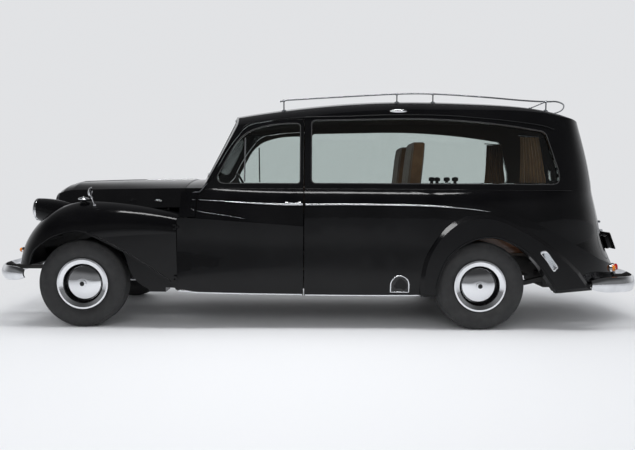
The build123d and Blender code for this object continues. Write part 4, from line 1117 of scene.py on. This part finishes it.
def seatBase(name, facts, side):
    (x, y, z), (length, width, height) = facts
    shell = slab(at(x, y * side, z), outwards, upwards, rounded(width, height, bases["corner"]), length,
                 bases["edge"])
    makePiece(name, [shell], carpet, "body")


benchMesh = stuffed(at(*bench["cushionPlace"]), **bench["cushion"])
benchCushion = padPiece("benchCushion", benchMesh, leather)
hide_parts("front_seat")
padPiece("benchBack", stuffed(at(*bench["backPlace"]), **bench["back"]), leather)
seatBase("benchBase", bases["bench"], 1)
for label, side in (("Left", -1), ("Right", 1)):
    for part in ("cushion", "back"):
        x, y, z = bearer[part + "Place"]
        mesh = stuffed(at(x, y * side, z), **bearer[part])
        padPiece("bearer" + part.title() + label, mesh, seatCloth)
    if label == "Left":
        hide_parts("bearer_seats")
    seatBase("bearerBase" + label, bases["bearer"], side)

# steering wheel and column
steering = {"centre": (1.250, 0.370, 1.130), "axis": (0.927, 0, 0.376), "radius": 0.205, "rim": 0.012,
            "boss": ((0.002, -0.016), (0.036, -0.014), (0.040, 0.0), (0.034, 0.012), (0.020, 0.017),
                     (0.002, 0.018)),
            "spokes": (30, 150, 270), "spokeRun": (0.03, 0.198), "spoke": 0.0065,
            "columnFoot": (0.885, 0.370, 0.982), "columnTop": 0.01, "column": 0.019}
hub = at(*steering["centre"])
steeringAxis = Vector(steering["axis"])
up = steeringAxis.cross(inwards).normalized()
rimPath = [hub + inwards * steering["radius"] * math.cos(a) + up * steering["radius"] * math.sin(a)
           for a in (2 * math.pi * k / 24 for k in range(24))]
steer = [tube(rimPath, steering["rim"], 14, True), turned(hub, steeringAxis, steering["boss"], 32)]
for angle in steering["spokes"]:
    spoke = inwards * math.cos(math.radians(angle)) + up * math.sin(math.radians(angle))
    steer.append(tube([hub + spoke * reach for reach in steering["spokeRun"]], steering["spoke"], 10))
columnTop = hub - steeringAxis * steering["columnTop"]
steer.append(tube([at(*steering["columnFoot"]), columnTop], steering["column"], 16))
dashPiece = makePiece("steeringWheel", steer, chassisBlack, "body")
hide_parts("dashboard")

# facia with three dials: width, height and corner, then depth and edge
facia = {"place": (0.950, 0, 1.062), "face": (1.16, 0.066, 0.02), "depth": 0.070, "edge": 0.006,
         "dialX": 1.022, "dialY": (0.47, 0.36, 0.25),
         "dial": ((0.026, -0.004), (0.026, 0.004), (0.022, 0.006), (0.021, 0.002), (0.001, 0.002))}
faciaShell = slab(at(*facia["place"]), outwards, upwards, rounded(*facia["face"]), facia["depth"],
                  facia["edge"])
makePiece("facia", [faciaShell], polishedWood, "body")
dials = [turned(at(facia["dialX"], y, facia["place"][2]), rearwards, facia["dial"], 32) for y in facia["dialY"]]
makePiece("dials", dials, chrome, "body")

# fittings on the deck: stops with knobs, a long rail and four rollers
deck = {"top": 1.204, "sunk": 0.002, "stops": ((3.10, 0.0), (3.17, 0.09), (3.245, 0.0), (3.305, -0.09)),
        "stop": ((0.026, 0.0), (0.026, 0.014), (0.017, 0.020), (0.015, 0.050), (0.029, 0.056),
                 (0.031, 0.076), (0.023, 0.088), (0.002, 0.092)),
        "railX": 3.10, "railRise": 0.012, "rail": (0.10, 0.024, 0.006), "railLength": 0.66, "railEdge": 0.003,
        "rollersX": (3.20, 3.50, 3.80, 4.10), "rollerY": -0.34, "rollerRise": 0.018,
        "roller": ((0.004, 0.0), (0.017, 0.002), (0.018, 0.01), (0.018, 0.67), (0.017, 0.678), (0.004, 0.68))}
fittings = [turned(at(x, y, deck["top"] - deck["sunk"]), upwards, deck["stop"], 24) for x, y in deck["stops"]]
fittings.append(slab(at(deck["railX"], 0, deck["top"] + deck["railRise"]), outwards, upwards,
                     rounded(*deck["rail"]), deck["railLength"], deck["railEdge"]))
makePiece("bierFittings", fittings, chassisBlack, "body")
rollers = [turned(at(x, deck["rollerY"], deck["top"] + deck["rollerRise"]), inwards, deck["roller"], 24)
           for x in deck["rollersX"]]
makePiece("deckRollers", rollers, chrome, "body")

# curtains, gathered at the rear of each side window
drape = {"x": (3.772, 4.005), "y": -0.585, "top": 1.640, "bottom": 1.240, "folds": 7, "flat": (0.36, 0.42),
         "depth": 0.016, "lean": 0.055, "narrowing": 0.085, "straight": 0.1, "rows": 40, "perFold": 12,
         "thickness": 0.0015, "rod": ((3.75, -0.535, 1.652), (3.94, -0.535, 1.640)), "rodRadius": 0.005}
settling = {"heading": 0.02, "hold": 0.35, "quality": 6, "mass": 0.3, "bending": 4.0, "stiffness": 25,
            "frames": 24, "furthest": 0.02}


# folds deepen towards the hem, and a slower wave makes them uneven
def foldAt(s, t):
    turns = math.pi * drape["folds"] * s
    return (math.sin(2 * turns + 0.5 * math.sin(3 * t)) * (0.55 + 0.45 * (1 - t))
            + 0.25 * math.sin(turns + 1.3 + 1.1 * t))


def drapeMesh(name, side):
    columns, rows = drape["perFold"] * drape["folds"], drape["rows"]
    left, right = drape["x"]
    mesh = bmesh.new()
    grid = []
    for r in range(rows + 1):
        t = r / rows
        z = drape["bottom"] + (drape["top"] - drape["bottom"]) * t
        width = right - drape["narrowing"] * max(0.0, t - drape["straight"]) - left
        line = []
        for c in range(columns + 1):
            s = c / columns
            y = drape["y"] + drape["lean"] * t + drape["depth"] * foldAt(s, t)
            line.append(mesh.verts.new(at(left + width * s, -side * y, z)))
        grid.append(line)
    for r in range(rows):
        for c in range(columns):
            mesh.faces.new((grid[r][c], grid[r][c + 1], grid[r + 1][c + 1], grid[r + 1][c]))
    return fromBmesh(name, mesh, drapeCloth)


# the cloth hangs from its heading for a moment, and is then made plain geometry
def settleDrape(piece):
    pins = piece.vertex_groups.new(name="heading")
    topZ = max(v.co.z for v in piece.data.vertices)
    for v in piece.data.vertices:
        fromTop = topZ - v.co.z
        held = 1.0 if fromTop < settling["heading"] else max(0.0, settling["hold"] - fromTop)
        pins.add([v.index], held, "REPLACE")
    cloth = piece.modifiers.new("cloth", "CLOTH")
    cloth.settings.vertex_group_mass = "heading"
    cloth.settings.quality = settling["quality"]
    cloth.settings.mass = settling["mass"]
    cloth.settings.bending_stiffness = settling["bending"]
    cloth.settings.tension_stiffness = settling["stiffness"]
    cloth.settings.compression_stiffness = settling["stiffness"]
    cloth.collision_settings.use_self_collision = False
    cloth.point_cache.frame_start = 1
    cloth.point_cache.frame_end = settling["frames"]
    for number in range(1, settling["frames"] + 1):
        bpy.context.scene.frame_set(number)
    settled = bpy.data.meshes.new_from_object(piece.evaluated_get(bpy.context.evaluated_depsgraph_get()))
    for rest, moved in zip(piece.data.vertices, settled.vertices):
        shift = moved.co - rest.co
        if shift.length > settling["furthest"]:
            moved.co = rest.co + shift.normalized() * settling["furthest"]
    piece.modifiers.clear()
    name = piece.data.name
    piece.data = settled
    settled.name = name
    bpy.context.scene.frame_set(1)


for label, side in (("Left", -1), ("Right", 1)):
    piece = drapeMesh("drape" + label, side)
    settleDrape(piece)
    solid = piece.modifiers.new("thickness", "SOLIDIFY")
    solid.thickness = drape["thickness"]
    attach(piece, "body")
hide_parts("curtains")
rod = tube([at(*end) for end in drape["rod"]], drape["rodRadius"], 10)
makePiece("curtainRods", bothSides([rod]), satinChrome, "body")
print("interior dressed")

# door handles
handleFacts = {"x": 1.708, "z": 1.057, "standoff": 0.0105, "feet": (1.728, 1.838),
               "lever": ((0.002, 0.0), (0.005, 0.003), (0.0065, 0.020), (0.0060, 0.050), (0.0065, 0.080),
                         (0.0082, 0.105), (0.0088, 0.128), (0.0070, 0.140), (0.002, 0.145)),
               "foot": ((0.014, -0.004), (0.014, 0.003), (0.008, 0.006), (0.0055, 0.010))}
place, _ = sideHit(doorSkin, handleFacts["feet"][0], handleFacts["z"])
leverStart = Vector((handleFacts["x"] + axleShift, place.y - handleFacts["standoff"], handleFacts["z"]))
lever = [turned(leverStart, rearwards, handleFacts["lever"], 20)]
for x in handleFacts["feet"]:
    place, normal = sideHit(doorSkin, x, handleFacts["z"])
    lever.append(turned(place, normal, handleFacts["foot"], 24))
makePair("doorHandle", lever, chrome, frontDoors)

glassSkin = skinOf("door_glass_left")
bar = {"x": 1.369, "bottom": 1.240, "top": 1.612, "width": 0.013, "proud": 0.008}
barPath = [(bar["x"], bar["bottom"] + (bar["top"] - bar["bottom"]) * k / 4, bar["width"]) for k in range(5)]
makePair("quarterLightBar", [moulding(glassSkin, barPath, bar["proud"])], chrome, frontDoors)

beads = {"upper": ((0.926, 1.147, 0.006), (0.985, 1.150, 0.006), (1.050, 1.153, 0.005)),
         "middle": ((0.925, 1.084, 0.005), (0.952, 1.083, 0.005)),
         "lower": ((0.925, 1.003, 0.005), (0.952, 0.997, 0.005)),
         "door": ((0.972, 0.993, 0.005), (1.037, 0.980, 0.006), (1.20, 0.958, 0.005), (1.38, 0.931, 0.003)),
         "proud": 0.004}
scuttleShells = [moulding(upperSkin, beads[label], beads["proud"]) for label in ("upper", "middle", "lower")]
makePiece("scuttleBeads", bothSides(scuttleShells), satinChrome, "body")
makePair("doorBead", [moulding(doorSkin, beads["door"], beads["proud"])], satinChrome, frontDoors)

# bonnet catches, and the bright strip along its centre hinge
bonnets = ("bonnet_left", "bonnet_right")
bonnetSkin = skinOf("bonnet_left")
catch = {"x": 0.604, "z": 1.069, "reach": 0.020, "leverStart": 0.030,
         "foot": ((0.016, -0.004), (0.016, 0.003), (0.009, 0.007), (0.007, 0.020)),
         "lever": ((0.002, 0.0), (0.006, 0.004), (0.0075, 0.030), (0.006, 0.056), (0.002, 0.060))}
place, normal = sideHit(bonnetSkin, catch["x"], catch["z"])
leverStart = place + normal * catch["reach"] + forwards * catch["leverStart"]
catchShells = [turned(place, normal, catch["foot"], 24), turned(leverStart, rearwards, catch["lever"], 16)]
makePair("bonnetCatch", catchShells, chrome, bonnets)

hinge = {"x": (-0.370, 0.832), "y": -0.012, "above": 1.6, "half": 0.0085, "crown": 0.006, "sunk": 0.003,
         "steps": 40}
hingeRings = []
for k in range(hinge["steps"] + 1):
    x = hinge["x"][0] + (hinge["x"][1] - hinge["x"][0]) * k / hinge["steps"]
    place, _ = meet(bonnetSkin, at(x, hinge["y"], hinge["above"]), down)
    if place is not None:
        top = Vector((place.x, 0, place.z))
        ring = [top + Vector((0, hinge["half"] * math.cos(a), hinge["crown"] * math.sin(a)))
                for a in (math.pi * j / 8 for j in range(9))]
        ring += [top + Vector((0, y, -hinge["sunk"])) for y in (-hinge["half"], hinge["half"])]
        hingeRings.append(ring)
makePiece("bonnetHingeStrip", [(hingeRings, False)], chrome, "body")

# the windscreen's surface: rows of height, x at the middle, x at the side
screen = {"rows": ((1.150, 0.915, 1.030), (2.080, 1.345, 1.640)), "side": 0.900, "tube": 0.005,
          "spacing": 0.05, "lift": 0.001}


def onScreen(y, z, lift):
    (z0, middle0, side0), (z1, middle1, side1) = screen["rows"]
    t = (z - z0) / (z1 - z0)
    middle = middle0 + (middle1 - middle0) * t
    sideX = side0 + (side1 - side0) * t
    return at(middle + (sideX - middle) * (y / screen["side"]) ** 2 - lift, y, z)


def hullOf(points):
    points = sorted(set(points))
    hull = []
    for sweep in (points, points[::-1]):
        chain = []
        for p in sweep:
            while len(chain) > 1 and ((chain[-1][0] - chain[-2][0]) * (p[1] - chain[-2][1])
                                      - (chain[-1][1] - chain[-2][1]) * (p[0] - chain[-2][0])) <= 0:
                chain.pop()
            chain.append(p)
        hull += chain[:-1]
    return hull


screenOutline = hullOf([(round(v.co.y, 3), round(v.co.z, 3)) for v in nodes["windscreen"].data.vertices])
screenLoop = []
for (y0, z0), (y1, z1) in zip(screenOutline, screenOutline[1:] + screenOutline[:1]):
    count = max(1, round(math.hypot(y1 - y0, z1 - z0) / screen["spacing"]))
    screenLoop += [onScreen(y0 + (y1 - y0) * k / count, z0 + (z1 - z0) * k / count, screen["lift"])
                   for k in range(count)]
screenTube = tube(screenLoop, screen["tube"], 8, True, spacing=1.0)
makePiece("screenFrame", [screenTube], satinChrome, "body")

screenFoot = min(p[1] for p in screenOutline)
wiper = {"pivot": 0.14, "pivotDrop": 0.020, "pivotLift": 0.010, "blade": (0.10, 0.50), "rise": 0.035,
         "lift": 0.014, "rod": 0.0035, "bossDrop": 0.014, "bossAxis": (-0.35, 0, 1),
         "boss": ((0.013, 0.0), (0.013, 0.020), (0.007, 0.030), (0.002, 0.032)),
         "armRise": 0.012, "armBend": (-0.008, 0, 0.010)}
wiperShells = []
bladeShells = []
for side in (-1, 1):
    pivot = onScreen(wiper["pivot"] * side, screenFoot - wiper["pivotDrop"], wiper["pivotLift"])
    tips = [onScreen(y * side, screenFoot + wiper["rise"], wiper["lift"]) for y in wiper["blade"]]
    middle = (tips[0] + tips[1]) / 2
    bend = (pivot + middle) / 2 + Vector(wiper["armBend"])
    wiperShells += [turned(pivot + down * wiper["bossDrop"], wiper["bossAxis"], wiper["boss"], 20),
                    tube([pivot + upwards * wiper["armRise"], bend, middle], wiper["rod"], 8)]
    bladeShells.append(tube([tips[0], middle, tips[1]], wiper["rod"], 8))
makePiece("wiperArms", wiperShells, satinChrome, "body")
makePiece("wiperBlades", bladeShells, rubber, "body")

# body bearers under the floor, in line with the rear edge of the doors
bearerBlock = {"x": (1.835, 1.915), "y": (0.60, 0.72), "z": (0.318, 0.425), "corner": 0.01, "edge": 0.004}
low = at(bearerBlock["x"][0], -bearerBlock["y"][1], bearerBlock["z"][0])
high = at(bearerBlock["x"][1], -bearerBlock["y"][0], bearerBlock["z"][1])
blockFace = rounded(high.y - low.y, high.z - low.z, bearerBlock["corner"])
blockStart = Vector((low.x, (low.y + high.y) / 2, (low.z + high.z) / 2))
block = slab(blockStart, inwards, upwards, blockFace, high.x - low.x, bearerBlock["edge"])
makePiece("bodyBearers", bothSides([block]), chassisBlack, "body")

# upright slats in the radiator shell
slats = {"count": 21, "reach": 0.215, "radius": 0.0045, "samples": 26, "stand": 0.004, "margin": 0.012,
         "ahead": 0.5, "fewest": 5}
grilleSkin = skinOf("radiator_grille")
grilleLow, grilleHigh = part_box("radiator_grille")
slatHeight = grilleHigh.z - grilleLow.z - 2 * slats["margin"]
slatShells = []
for i in range(slats["count"]):
    y = -slats["reach"] + 2 * slats["reach"] * i / (slats["count"] - 1)
    column = []
    for k in range(slats["samples"] + 1):
        z = grilleLow.z + slats["margin"] + slatHeight * k / slats["samples"]
        place, _ = meet(grilleSkin, Vector((grilleLow.x - slats["ahead"], y, z)), rearwards)
        if place is not None and place.x > grilleLow.x + slats["margin"]:
            column.append(place + forwards * slats["stand"])
    if len(column) >= slats["fewest"]:
        middle = (column[0] + column[-1]) / 2
        slatShells.append(tube([column[0], middle, column[-1]], slats["radius"], 8, spacing=0.2))
makePiece("grilleSlats", slatShells, chrome, "body")
print("small trim placed")
